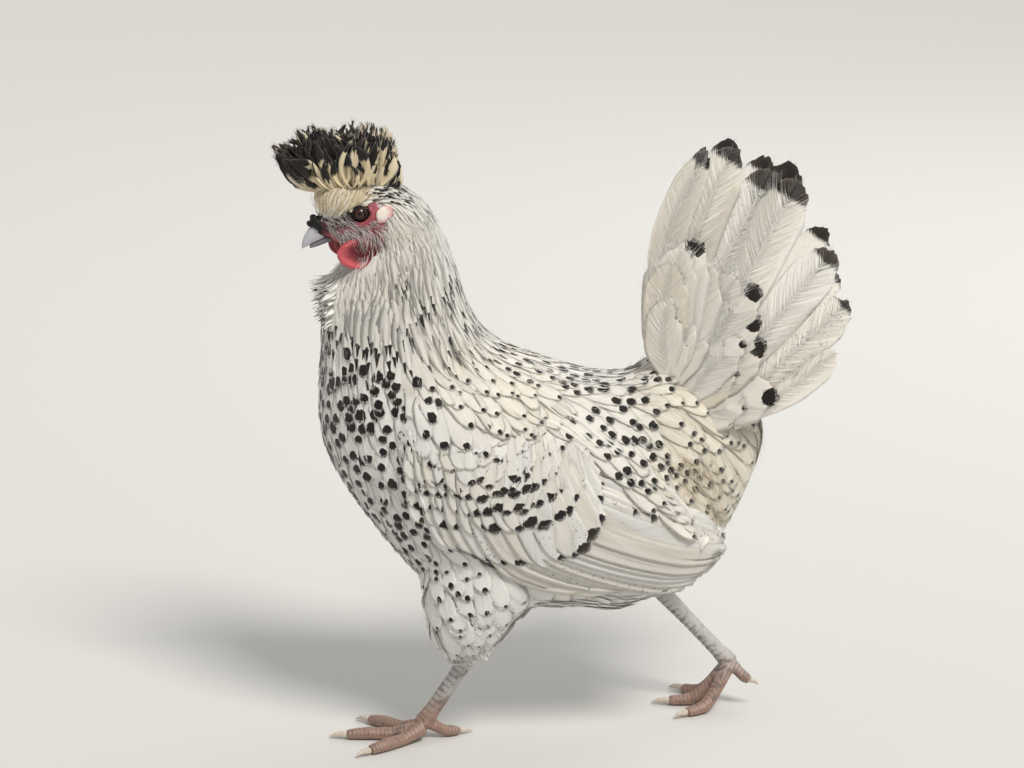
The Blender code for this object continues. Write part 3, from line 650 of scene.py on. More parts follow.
def down_keratin(name, pale, dark):
    """Loose down and bristle: fine matt barbs with no hooks, lighter and warmer at the ends."""
    put, end = new_material(name, 0.7, sheen_weight=0.2, ior=1.54, specular_ior_level=0.2,
                            subsurface_weight=0.3, subsurface_scale=0.002, **NEUTRAL)
    tone = put("MULTIPLY_ADD", put("value", "along"), 0.25, put("value", "tone"))
    tone = put("MULTIPLY_ADD", put("noise", put("place"), 900.0), 0.15, tone, use_clamp=True)
    return end(put("mix", tone, dark, pale))


def feathered_skin(name, pale, dark, red, light, deep, hollow_shade_colour, lid):
    """Hen skin: pale, dull and marked as the coat is under it, red and finely pimpled where bare,
    with painted shade in the hollow from the eye to the comb.
    """
    put, end = new_material(name, 0.48, ior=1.4, subsurface_weight=0.12, subsurface_scale=0.004)
    where = put("place")
    grain, broad = put("noise", where, 420.0, 3.0, 0.6), put("noise", where, 90.0)
    pimples = put("cells", where, 900.0)
    spots = put("SUBTRACT", put("cells", where, 105.0), put("MULTIPLY", put("value", "spangle"), 0.09))
    under = put("mix", put("MULTIPLY", put("step", spots, 0.06, 0.0), 0.8), pale, dark)
    tint = put("MULTIPLY_ADD", grain, 0.9, put("MULTIPLY", broad, 0.6), use_clamp=True)
    flesh = put("mix", put("step", pimples, 0.5, 0.1), put("mix", tint, red, light), deep)
    # Painted shade: the hollow from the eye to the comb is darkened, in broad patches, to its shade colour.
    hollow_shade = put("MULTIPLY", put("value", "hollow_shade"), put("MULTIPLY_ADD", broad, 0.6, 0.62), use_clamp=True)
    colour = put("mix", put("value", "bare"), under, put("mix", hollow_shade, flesh, hollow_shade_colour))
    colour = put("mix", put("value", "rim"), colour, lid)
    return end(colour, put("bump", put("MULTIPLY_ADD", grain, 0.7, pimples), 0.35 * MM, 0.5))


def bare_skin(name, deep, light, pimple, moist):
    """Comb, wattle and lobe skin: blood-red or pale, translucent, pebbled with fine papillae. Its tint
    runs from deep to light by mottling and by each piece's edge value, which on the wattles is
    painted light and shade.
    """
    put, end = new_material(name, moist, ior=1.4, subsurface_weight=0.2, subsurface_scale=0.003)
    where = put("place")
    broad = put("noise", where, 150.0, 3.0, 0.6)
    mottle = put("MULTIPLY_ADD", put("step", broad, 0.3, 0.75), 0.4, -0.08)
    tint = put("ADD", mottle, put("value", "edge"), use_clamp=True)
    pebbles = put("MULTIPLY_ADD", broad, 0.8, put("cells", where, pimple))
    return end(put("mix", tint, deep, light), put("bump", pebbles, 0.3 * MM, 0.6))


def bill_horn(name, pale, tip):
    """Bill horn: smooth keratin, pale and slightly waxy, with faint growth lines along it."""
    put, end = new_material(name, 0.32, ior=1.55, subsurface_weight=0.15, subsurface_scale=0.002)
    streak = put("noise", put("stretched", put("place"), (90.0, 500.0, 700.0)), 1.0, 3.0, 0.6)
    return end(put("mix", put("MULTIPLY", streak, 0.6), pale, tip), put("bump", streak, 0.15 * MM, 0.4))


def leg_scale(name, slate, tan, stain, groove):
    """Leg scutes: dry overlapping horn plates, slate above and pinkish tan on the toes."""
    put, end = new_material(name, 0.5, ior=1.5)
    where = put("place")
    broad, fine = put("noise", where, 160.0, 3.0, 0.6), put("noise", where, 1500.0)
    low = put("step", put("MULTIPLY_ADD", broad, -0.02, put("height", where)), 34 * MM, 6 * MM)
    stained = put("MULTIPLY", put("step", broad, 0.5, 0.72), 0.7)
    colour = put("mix", stained, put("mix", low, slate, tan), stain)
    colour = put("mix", put("value", "groove"), colour, groove)
    return end(colour, put("bump", put("ADD", fine, broad), 0.15 * MM, 0.5))


def claw_horn(name, pale, dark):
    """Claw horn: worn keratin, translucent at the tip and stained at the root."""
    put, end = new_material(name, 0.38, ior=1.55)
    streak = put("noise", put("place"), 500.0, 3.0, 0.6)
    return end(put("mix", streak, pale, dark), put("bump", streak, 0.1 * MM, 0.4))


def wet_eye(name, iris, ring, fibre, pupil, rim):
    """A living eye: a wet clear surface over a fibrous red-brown iris and a black pupil."""
    put, end = new_material(name, 0.2, ior=1.376, coat_weight=0.35, coat_roughness=0.03)
    away = put("value", "from_pupil")
    fibres = put("MULTIPLY", put("noise", put("place"), 1400.0, 3.0, 0.7), 0.5)
    colour = put("mix", fibres, put("mix", put("step", away, 1.7, 2.6), iris, ring), fibre)
    colour = put("mix", put("step", away, 1.9, 1.65), colour, pupil)
    return end(put("mix", put("step", away, 3.1, 3.4), colour, rim))


def floor_paint(name, pale):
    """Matt emulsion on board: even and pale, with a faint roller texture."""
    put, end = new_material(name, 0.85)
    grain = put("MULTIPLY", put("noise", put("place"), 60.0, 3.0), 0.06)
    return end(put("mix", grain, pale, (0.5, 0.5, 0.5, 1)))


# ---------------------------------------------------------------- the head's landmarks

LID_OPEN = 3.5 * MM  # half width of the eye's opening
LID_REACH = 9.0 * MM  # how far the lids' swelling runs out over the face


def centre_of(node):
    low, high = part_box(node)
    return (np.array(low) + np.array(high)) / 2


def eye_frame(word, side):
    """The eye's middle, the ways out of the head, back along the face and up, and its radius."""
    low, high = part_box(f"eye_{word}")
    out = swung(unit(np.array([-0.3, side * 0.95, 0.06])), HEAD_TURN)
    back = unit(np.cross([0.0, 0.0, 1.0], out) * -side)
    up = np.cross(back, out)
    return centre_of(f"eye_{word}"), out, back, unit(up) * np.sign(up[2]), (high[2] - low[2]) / 2


# The naked face in the head's straight lie, x and z in millimetres: bill, brow, lobe, cheek.
BARE_FACE = ((-166, 342), (-150, 342), (-141, 344), (-134, 348), (-127, 353), (-119, 353.5), (-115.5, 349),
             (-114, 342), (-114.5, 334), (-114, 327.5), (-118, 322.5), (-122, 323), (-128, 325), (-140, 323),
             (-166, 325))
HOLLOW = (-129.5, 346.0), (-153.0, 337.0)  # the line, as above, of the hollow from the eye to the comb that gets painted shade


def inside(polygon, x, z):
    """How far places lie inside a polygon, negative outside, in the polygon's own unit."""
    corners = np.array(polygon, float)
    best = np.full(np.shape(x), 1e9)
    within = np.zeros(np.shape(x), bool)
    for (ax, az), (bx, bz) in zip(corners, np.roll(corners, -1, axis=0)):
        dx, dz = bx - ax, bz - az
        t = np.clip(((x - ax) * dx + (z - az) * dz) / (dx * dx + dz * dz), 0, 1)
        best = np.minimum(best, np.hypot(x - ax - t * dx, z - az - t * dz))
        within ^= ((az > z) != (bz > z)) & (x < dx * (z - az) / (bz - az + 1e-12) + ax)
    return np.where(within, best, -best)


def bareness(points):
    """1 on the naked red face round the eye and bill, 0 under feathers."""
    x, _, z = straightened(points).T
    wobble = 0.8 * np.sin(x * 1.1 + z * 0.6) + 0.6 * np.sin(z * 1.9)
    return smooth(-1.2, 1.6, inside(BARE_FACE, x, z) + wobble)


def painted_hollow_shade(points):
    """1 where shade is painted in the hollow that runs from the eye to the comb."""
    start, end = np.array(HOLLOW)
    away = straightened(points)[:, [0, 2]] - start
    t = np.clip(away @ (end - start) / ((end - start) @ (end - start)), 0, 1)
    return smooth(6.2, 2.0, np.linalg.norm(away - t[:, None] * (end - start), axis=1) - 2.2 * t)


def headness(points):
    """1 on the head, 0 down the neck."""
    return smooth(288, 312, up_neck(points) / MM) * smooth(300, 318, points[:, 2] / MM)


# ---------------------------------------------------------------- skin


class HEN_PG_skin(bpy.types.PropertyGroup):
    voxel: FloatProperty(name="Grain", description="Size of the skin's mesh cells", default=1.8 * MM,
                         unit="LENGTH")
    inset: FloatProperty(name="Inset", description="Skin's depth, as a share of the coat's", default=0.92)
    pale: FloatVectorProperty(name="Under-down", description="Colour of the skin under the coat",
                              subtype="COLOR", size=3, default=linear("E4E2DD")[:3])
    red: FloatVectorProperty(name="Face", description="Colour of the bare face", subtype="COLOR", size=3,
                             default=linear("742C36")[:3])


def forehead():
    """The feathered mound between the bill and the crest, as an ellipsoid."""
    return [(head_turned(np.array([-142.5, 0, 352.5]) * MM), np.diag([13.5, 14.0, 12.5]) * MM)]


def coat_depth(points):
    """How far the skin lies inside the outline."""
    bare = bareness(points)
    return (lie_of(points)[1][:, DEPTH] * (1 - bare) + 0.3 * bare) * MM


def sculpt_face(points):
    """Points with the sockets, folds and swollen lids of the face, and how much each is lid."""
    points, lids = points.copy(), np.zeros(len(points))
    for word, side in SIDES:
        middle, out, back, up, radius = eye_frame(word, side)
        away = points - middle
        depth = away @ out
        flat = away - depth[:, None] * out
        along, over = flat @ back, flat @ up
        far = np.hypot(along, over * 1.22)
        ball = np.sqrt(np.maximum(radius**2 - far**2, 0))
        cover = np.maximum(ball + 0.5 * MM, depth)
        want = depth + (cover - depth) * smooth(LID_REACH, 5.0 * MM, far)
        for height, ring, width in ((0.8 * MM, 4.8 * MM, 1.0 * MM), (0.5 * MM, 7.4 * MM, 0.8 * MM)):
            want += height * np.exp(-(((far - ring) / width) ** 2))
        want = np.where(far < LID_OPEN, np.minimum(want, 0.5 * MM), want)
        want *= 1 - smooth(LID_OPEN + 0.3 * MM, LID_OPEN, far)
        near = (far < LID_REACH * 1.2) & (depth > -radius)
        points[near] += out * (want - depth)[near, None]
        oval = np.hypot((along + 1.4 * MM) / 1.45, over)
        seen = (far < 13 * MM) & (depth > -radius)
        lids = np.maximum(lids, smooth(5.9 * MM, 4.8 * MM, oval) * seen)
    return points, lids


def refine(obj, wanted, cuts):
    """Divides the edges whose middles are wanted."""
    work = bmesh.new()
    work.from_mesh(obj.data)
    middles = np.array([(e.verts[0].co + e.verts[1].co) / 2 for e in work.edges])
    edges = [e for e, yes in zip(work.edges, wanted(middles)) if yes]
    bmesh.ops.subdivide_edges(work, edges=edges, cuts=cuts, use_grid_fill=True, smooth=0.6)
    work.to_mesh(obj.data)
    work.free()


def rgba(colour):
    """A property's colour as a node takes it."""
    return (*colour, 1.0)


class HEN_OT_skin(bpy.types.Operator):
    """Lays one skin inside the solids of flesh, with the face's folds and lids"""

    bl_idname = "hen.skin"
    bl_label = "Skin"

    def execute(self, context):
        settings = context.scene.hen_skin
        skin = joined_copy("skin", FLESH, settings.voxel, 6, forehead(), headness)
        points, normals = points_of(skin), normals_of(skin)
        points = points - normals * (coat_depth(points) * settings.inset)[:, None]
        set_points(skin, relax(points, skin, 6, 1 - 0.9 * headness(points)))
        refine(skin, lambda p: bareness(p) > 0.02, 2)
        for word, side in SIDES:
            middle = eye_frame(word, side)[0]
            refine(skin, lambda p, m=middle: np.linalg.norm(p - m, axis=1) < 11 * MM, 1)
        points = points_of(skin)
        points, lids = sculpt_face(relax(points, skin, 3, bareness(points)))
        set_points(skin, points)
        bare = bareness(points)
        set_value(skin, "bare", bare)
        set_value(skin, "rim", lids)
        # painted shade for the hollow from the eye to the comb
        set_value(skin, "hollow_shade", painted_hollow_shade(points))
        set_value(skin, "spangle", lie_of(points)[1][:, SPANGLE] * (1 - bare))
        skin.data.shade_smooth()
        # 27161A is the painted shade of the hollow between the eye and the comb
        material = feathered_skin("bare and downy hen skin", rgba(settings.pale), "2A2523",
                                  rgba(settings.red), "AE5A62", "5E1F28", "27161A", "20151A")
        finish_piece(skin, material, "plumage", *FLESH)
        return {"FINISHED"}


# ---------------------------------------------------------------- body plumage


class HEN_PG_plumage(bpy.types.PropertyGroup):
    seed: IntProperty(name="Seed", description="Varies every feather's place and lie", default=11)
    spangle: FloatProperty(name="Spangle size", description="Scales all the dark spots", default=1.0)
    spacing: FloatProperty(name="Spacing", description="Scales the distance between roots", default=1.0)
    white: FloatVectorProperty(name="White", description="Ground colour of the plumage", subtype="COLOR",
                               size=3, default=linear("F2F0EB")[:3])


BODY_PARTS = (
    # name, seed, rows and columns of a vane
    ("head_feathers", 21, 5, 2),
    ("hackle", 22, 9, 2),
    ("breast", 23, 11, 6),
    ("back", 24, 11, 6),
    ("saddle", 25, 11, 6),
    ("belly", 26, 11, 6),
    ("thigh_plumes", 27, 10, 6),
)
HEAD_FEATHERS, HACKLE, BREAST, BACK, SADDLE, BELLY, THIGHS = range(7)
# The axes, in millimetres, that parts of the skin are unrolled about on the bake map
NECK_AXIS = (-100, 0, 230), (-118, 0, 365)
BODY_AXIS = (130, 0, 200), (-140, 0, 190)
FLUFF_AXIS = (130, 0, 200), (-140, 0, 230)
FACE_AXIS = (-90, 0, 335), (-160, 0, 335)
THIGH_AXIS = (0, 0, 120), (-1, 0, 40)
MAP_AXES = (NECK_AXIS, NECK_AXIS, BODY_AXIS, BODY_AXIS, BODY_AXIS, BODY_AXIS, THIGH_AXIS)


def part_of(points):
    """Which of BODY_PARTS each root belongs to."""
    x, _, z = points.T / MM
    part = np.full(len(points), BELLY)
    part[(z > 110) & (x < -75)] = BREAST
    part[(z > 150) & (x >= -75)] = BACK
    part[(z > 130) & (x > 15)] = SADDLE
    part[(z + 0.25 * (x + 110) > 277) & (x < -40)] = HACKLE
    part[(z > 322) & (up_neck(points / MM) > 295)] = HEAD_FEATHERS
    for word, _ in SIDES:
        low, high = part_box(f"thigh_{word}")
        on_thigh = (points[:, 0] > low[0]) & (points[:, 0] < high[0]) & (points[:, 2] < high[2] - 5 * MM)
        on_thigh &= (points[:, 1] > low[1] + 4 * MM) & (points[:, 1] < high[1])
        part[on_thigh & (z < 112)] = THIGHS
    return part


def vane_shape(root, full, shoulder, end):
    """Half width along a vane: narrow at the root, full, then drawn in towards the tip."""
    def shape(along):
        grow = root + (1 - root) * smooth(0, full, along)
        return grow * (1 - (1 - end) * smooth(shoulder, 1.0, along))
    return shape


HACKLE_SHAPE = vane_shape(0.4, 0.35, 0.45, 0.18)
BODY_SHAPE = vane_shape(0.35, 0.4, 0.74, 0.7)
# What shows of the folded wing, x and z in millimetres. No body feather is rooted in it.
WING_OPEN = ((-92, 206), (-62, 220), (-20, 220), (22, 196), (64, 155), (90, 152), (107, 140), (100, 118),
             (60, 113), (0, 115), (-50, 130), (-74, 146), (-90, 172))


def in_wing(points):
    """How far inside WING_OPEN points lie, in millimetres."""
    return inside(WING_OPEN, points[:, 0] / MM, points[:, 2] / MM)


def under_wing(points):
    """True where a wing lies over the flank."""
    return (in_wing(points) > 0) & (np.abs(points[:, 1]) > 25 * MM)


def under_wattle(points):
    """True where a wattle hangs over the throat."""
    hidden = np.zeros(len(points), bool)
    for word, _ in SIDES:
        low, high = (np.array(c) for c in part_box(f"wattle_{word}"))
        x, y, z = ((points - (low + high) / 2 - [3.5 * MM, 0, 0])
                   / ((high - low) / 2 + [4.5 * MM, 9 * MM, 1.5 * MM])).T
        hidden |= (x**2 + (z + 0.1) ** 2 < 0.9) & (np.abs(y) < 1)
    return hidden


def coat_base(inset):
    """The surface that feathers lie on: the skin, closed over the wings' roots."""
    lay = joined_copy("lay", (*FLESH, "wing_left", "wing_right"), 2.2 * MM, 8, forehead(), headness)
    points = points_of(lay)
    flank = smooth(-12, 0, in_wing(points)) * smooth(25, 35, np.abs(points[:, 1]) / MM)
    set_points(lay, relax(points, lay, 30, flank))
    points = points_of(lay)
    set_points(lay, points - normals_of(lay) * coat_depth(points)[:, None] * inset)
    set_points(lay, relax(points_of(lay), lay, 8, 1 - headness(points)))
    surface = surface_of(lay)
    bpy.data.meshes.remove(lay.data)
    return surface


class HEN_OT_body_plumage(bpy.types.Operator):
    """Covers the skin with overlapping feathers along the lie of the coat"""

    bl_idname = "hen.body_plumage"
    bl_label = "Body plumage"

    def execute(self, context):
        settings = context.scene.hen_plumage
        surface = coat_base(context.scene.hen_skin.inset)
        rng = np.random.default_rng(settings.seed)

        def spacing(points):
            return lie_of(points)[1][:, SPACING] * settings.spacing * MM

        roots = scattered(bpy.data.objects["skin"], spacing, lambda p: bareness(p) < 0.5, settings.seed)
        part = part_of(roots)
        cover = under_wing(roots) | under_wattle(roots)
        material = feather_keratin("spangled contour feather keratin", rgba(settings.white), "E6D3A8",
                                   "120E0C", "251C17", "D2D0CB", barb_gap_shade=0.25)
        loose = down_keratin("loose barb keratin", "F1EFEA", "15100E")
        for index, (name, seed, rows, columns) in enumerate(BODY_PARTS):
            neck = index in (HEAD_FEATHERS, HACKLE)
            mine = roots[(part == index) & ~cover]
            if not len(mine):
                raise RuntimeError(f"no feathers rooted for {name}")
            values, count = lie_of(mine)[1], len(mine)
            length = values[:, LENGTH] * MM * rng.uniform(0.94, 1.06, count)
            shafts, normals = traced(mine, surface, length, rows, 0.09, seed)
            lying = 0.74 if neck else 0.62  # share of the coat's depth at which roots lie
            share = lying + (0.97 - lying) * np.linspace(0, 1, rows + 1)
            shafts = shafts + normals * (values[:, DEPTH, None] * MM * share)[:, :, None]
            width = values[:, WIDTH] * MM * rng.uniform(0.88, 1.12, count)
            seen = lie_of(shafts[:, -1])[1]
            spot = seen[:, SPANGLE] * settings.spangle * rng.uniform(0.82, 1.15, count)
            spot = np.where(rng.random(count) < 0.07, 0.0, spot)
            places = unrolled(mine, *MAP_AXES[index])
            obj = vanes(name, shafts, normals, width, HACKLE_SHAPE if neck else BODY_SHAPE, places,
                        {"luck": rng.random(count), "spangle": spot, "stretch": seen[:, STRETCH],
                         "inset": rng.uniform(0.72, 1.15, count), "cream": seen[:, CREAM],
                         "slant": 0.25 if neck else 0.9},
                        columns, camber=0.03, thick=0.22 * MM, ragged=0.25 * MM, roll=0.03,
                        tip=0.8 if neck else 0.42, seed=seed)
            finish_piece(obj, material, "plumage", *FLESH)
            if not neck:
                obj = fringe(f"{name}_fringe", shafts, normals, width, 12, 3.2 * MM,
                             rng.uniform(0.7, 1.0, count), places, seed)
                finish_piece(obj, loose, "plumage", *FLESH)
        return {"FINISHED"}


# Loose barbs: name, seed, count, ranges of x, y on the left side and z in millimetres, their way if
# not the coat's, length, spread, lift, radius, and the pale and dark ends of their colour
FLUFF = (
    ("hackle_barbs", 31, 5000, (-156, -58), (-60, 0), (262, 345),
     None, 14, 0.14, 4.9, 0.13, "FAF9F5", "F0EBE1"),
    ("shoulder_barbs", 35, 1800, (-100, 20), (-66, -20), (212, 266),
     None, 13, 0.3, 7.6, 0.13, "F4F0E6", "E6D8BE"),
    ("saddle_barbs", 32, 1900, (40, 128), (-60, 0), (150, 262),
     None, 15, 0.3, 8.6, 0.13, "F1E8D4", "DCC79E"),
    ("rump_fluff", 33, 1300, (52, 96), (-64, -14), (148, 198),
     (0.45, -0.2, -1.0), 20, 0.25, 9.6, 0.18, "EDE1C6", "A88A5E"),
    ("thigh_fluff", 34, 2200, (-92, 70), (-64, -8), (60, 128),
     None, 13, 0.35, 6.6, 0.15, "F4F2ED", "DCDAD5"),
    ("brow_fluff", 39, 1200, (-160, -122), (-30, 0), (343, 368),
     None, 8, 0.3, 2.3, 0.13, "F8EAC4", "E6CB92"),
)
BRISTLES, CHEEK_BRISTLES, RUFF = 950, 420, 150


def tufts(roots, surface, lengths, lift, spread, way_of, seed, steps=5):
    """Lines lying over a surface and rising off it towards their ends."""
    rng = np.random.default_rng(seed)
    paths, normals = traced(roots, surface, lengths, steps, spread, seed, way_of)
    along = np.linspace(0, 1, steps + 1)
    paths = paths + normals * (lift[:, None] * (0.5 + 0.5 * along**1.3))[:, :, None]
    curl = unit(rng.normal(0, 1, roots.shape)) * (lengths * 0.1)[:, None]
    return paths + curl[:, None] * (along**2)[None, :, None]


def face_back(points):
    """The way of the face's bristles: back, and steeply down below the eye."""
    steep = smooth(340, 331, points[:, 2:] / MM)
    return unit(np.array([0.95, 0, -0.42]) * (1 - steep) + np.array([0.5, 0, -0.85]) * steep)


def ruff():
    """The tufts that stand forward under the throat, with dark ends."""
    rng = np.random.default_rng(37)
    lines, ups = [], []
    along = np.linspace(0, 1, 10)[:, None]
    for _ in range(RUFF):
        turn, high = rng.uniform(-1, 1), rng.uniform(0, 1)
        root = np.array([-142 - 2 * high, 17 * turn, 281 + 21 * high]) * MM
        way = unit(np.array([-1.0, 0.6 * turn, -0.95 + 0.3 * high]) + rng.normal(0, 0.1, 3))
        reach = rng.uniform(13, 20) * MM
        lines.append(root + way * reach * along + np.array([0, 0, 3.5 * MM]) * along**2)
        ups.append(np.tile([-0.35, 0.5 * turn, 0.8], (len(along), 1)))
    places = np.stack([rng.uniform(0.05, 0.95, RUFF), rng.uniform(0.05, 0.95, RUFF)], axis=1)
    obj = vanes("throat_ruff", head_turned(lines), np.array(ups), rng.uniform(1.8, 3.2, RUFF) * MM,
                HACKLE_SHAPE, places,
                {"luck": rng.random(RUFF),
                 "spangle": rng.uniform(0.8, 1.4, RUFF) * (rng.random(RUFF) < 0.3),
                 "stretch": 2.6, "slant": 0.25},
                columns=2, ragged=0.4 * MM, roll=0.3, seed=38)
    finish_piece(obj, bpy.data.materials["spangled contour feather keratin"], "plumage", "neck")


def bristles(skin, surface):
    """The bristles over the throat, lores and cheeks, white and black."""
    rng = np.random.default_rng(36)
    rest, facing = points_of(skin), normals_of(skin)
    x, y, z = straightened(rest).T
    clear = np.abs(y) > 8
    for word, side in SIDES:
        clear &= np.linalg.norm(rest - eye_frame(word, side)[0], axis=1) > 8.5 * MM
    throat = clear & ~under_wattle(rest) & (inside(BARE_FACE, x, z) > 0) & (facing[:, 0] < 0.8)
    throat &= z < 343 - 0.25 * (x + 130)
    cheek = clear & (x > -141) & (x < -113) & (z > 328) & (z < 336)
    roots = np.concatenate([rest[rng.choice(np.flatnonzero(throat), BRISTLES)],
                            rest[rng.choice(np.flatnonzero(cheek), CHEEK_BRISTLES)]])
    lengths = np.append(rng.uniform(3.5, 8.0, BRISTLES), rng.uniform(5.0, 11.0, CHEEK_BRISTLES)) * MM
    rise = np.append(rng.uniform(0.3, 1.6, BRISTLES), rng.uniform(3.0, 7.5, CHEEK_BRISTLES)) * MM
    paths = tufts(roots, surface, lengths, rise, 0.3, face_back, 36)
    black = rng.random(len(roots)) < 0.3
    for word, mine, pale, dark in (("white", ~black, "F3EFEA", "BDB4B0"),
                                   ("black", black, "2A2223", "0C0A0A")):
        count = np.count_nonzero(mine)
        obj = strands(f"face_bristles_{word}", paths[mine], np.full(count, 0.13 * MM),
                      unrolled(roots[mine], *FACE_AXIS), {"tone": rng.uniform(0.2, 0.9, count)})
        finish_piece(obj, down_keratin(f"{word} bristle keratin", pale, dark), "plumage", "head")


class HEN_OT_fluff(bpy.types.Operator):
    """Adds the loose barbs over the hackle, saddle, rump and thighs, and the face's bristles"""

    bl_idname = "hen.fluff"
    bl_label = "Loose barbs and bristles"

    def execute(self, context):
        skin = bpy.data.objects["skin"]
        surface, rest = surface_of(skin), points_of(skin)
        left = np.stack([rest[:, 0], -np.abs(rest[:, 1]), rest[:, 2]], axis=1) / MM
        open_coat = ~under_wing(rest) & (bareness(rest) < 0.1)
        for name, seed, count, xs, ys, zs, way, length, spread, lift, radius, pale, dark in FLUFF:
            rng = np.random.default_rng(seed)
            low, high = np.array([xs, ys, zs]).T
            allowed = open_coat & ((left > low) & (left < high)).all(axis=1)
            roots = rest[rng.choice(np.flatnonzero(allowed), count)]
            roots = roots + rng.normal(0, 0.8 * MM, roots.shape)
            way_of = None
            if way:
                def way_of(points, way=np.array(way)):
                    return unit(np.where(points[:, 1:2] > 0, way * (1, -1, 1), way))
            lengths = length * MM * rng.uniform(0.6, 1.15, count)
            rise = lift * MM * rng.uniform(0.75, 1.2, count)
            paths = tufts(roots, surface, lengths, rise, spread, way_of, seed)
            obj = strands(name, paths, radius * MM * rng.uniform(0.7, 1.2, count),
                          unrolled(roots, *FLUFF_AXIS), {"tone": rng.uniform(0.1, 0.8, count)})
            material = down_keratin(name.replace("_", " ") + " keratin", pale, dark)
            finish_piece(obj, material, "plumage", *FLESH)
        ruff()
        bristles(skin, surface)
        return {"FINISHED"}


# ---------------------------------------------------------------- wings


def along_rows(rows, at):
    """Places on a polyline, at shares of its count of rows."""
    rows = np.asarray(rows, float)
    at = np.clip(at, 0, 1) * (len(rows) - 1)
    i = np.minimum(at.astype(int), len(rows) - 2)
    return rows[i] + (rows[i + 1] - rows[i]) * (at - i)[:, None]


def wing_surface(word, side):
    """A smooth surface y(x, z) through the outer side of a wing's solid."""
    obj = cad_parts[f"wing_{word}"]
    outer = points_of(obj)[normals_of(obj)[:, 1] * side > 0.55]

    def terms(x, z):
        x, z = x / 0.1, (z - 0.17) / 0.06  # both near 1 over the wing
        return np.stack([x * 0 + 1, x, z, x * x, x * z, z * z, x**3, x * x * z, x * z * z, z**3], axis=-1)

    fit = np.linalg.lstsq(terms(outer[:, 0], outer[:, 2]), outer[:, 1], rcond=None)[0]
    return lambda x, z: terms(x, z) @ fit


def bowed(start, end, bow, steps):
    """Points from start to end in the x, z plane, their middle pushed square to them by bow."""
    t = np.linspace(0, 1, steps + 1)[:, None]
    away = end - start
    square = np.array([away[1], -away[0]]) / np.linalg.norm(away)
    return start + away * t + square * (4 * bow * t * (1 - t) ** 0.8)


# Rows of the folded wing, inner layers first: where their roots and their tips run (x, z in
# millimetres), how many, half width, spangle, its stretch, how deep they lie, bow, odds of a spot
WING_ROWS = (
    (((-40, 138), (-10, 144)), ((-4, 117), (30, 113), (62, 111), (84, 113)), 9, 8.0, 0.0, 1.0, 3.9, 4, 0.0),
    (((-46, 138), (-20, 150), (4, 172), (10, 192)),
     ((24, 116), (62, 112), (86, 116), (100, 125), (105, 136), (101, 146), (92, 153)),
     22, 10.0, 2.6, 0.6, 2.7, 6, 0.5),
    (((-14, 222), (-6, 226)), ((38, 170), (58, 152), (84, 151)), 5, 7.5, 3.4, 1.2, 1.9, -3, 1.0),
    (((-76, 168), (-40, 176), (0, 200), (8, 216)),
     ((-64, 144), (-44, 134), (-22, 128), (-1, 127), (15, 138), (27, 156), (24, 178), (14, 193)),
     20, 9.6, 5.0, 0.68, 1.8, 3, 0.9),
    (((-84, 184), (-30, 196), (0, 214)), ((-84, 158), (-50, 153), (-20, 153), (4, 160), (15, 176)),
     18, 8.6, 4.8, 0.68, 1.5, 2, 0.95),
    (((-86, 192), (-30, 204), (-4, 218)), ((-86, 166), (-50, 163), (-20, 165), (2, 178)),
     18, 8.2, 4.8, 0.66, 1.25, 2, 1.0),
    (((-88, 200), (-30, 212), (-8, 222)), ((-88, 175), (-50, 173), (-20, 177), (-4, 190)),
     18, 8.0, 4.6, 0.66, 1.0, 2, 1.0),
    (((-90, 208), (-40, 218), (-12, 226)), ((-89, 184), (-52, 182), (-24, 187), (-10, 200)),
     17, 8.0, 3.8, 0.68, 0.8, 2, 0.85),
    (((-91, 216), (-50, 228), (-16, 230)), ((-88, 193), (-54, 192), (-18, 206)),
     11, 8.8, 1.9, 0.8, 0.7, 1, 0.6),
    (((-88, 224), (-54, 232), (-20, 232)), ((-86, 202), (-56, 202), (-22, 213)),
     10, 9.0, 1.5, 0.9, 0.7, 1, 0.4),
)
LAP = 0.35  # millimetres by which each row's last feather lies deeper than its first
SHOULDER = 204, 0.17  # above this height, in millimetres, the wing slips in under the back by this slope


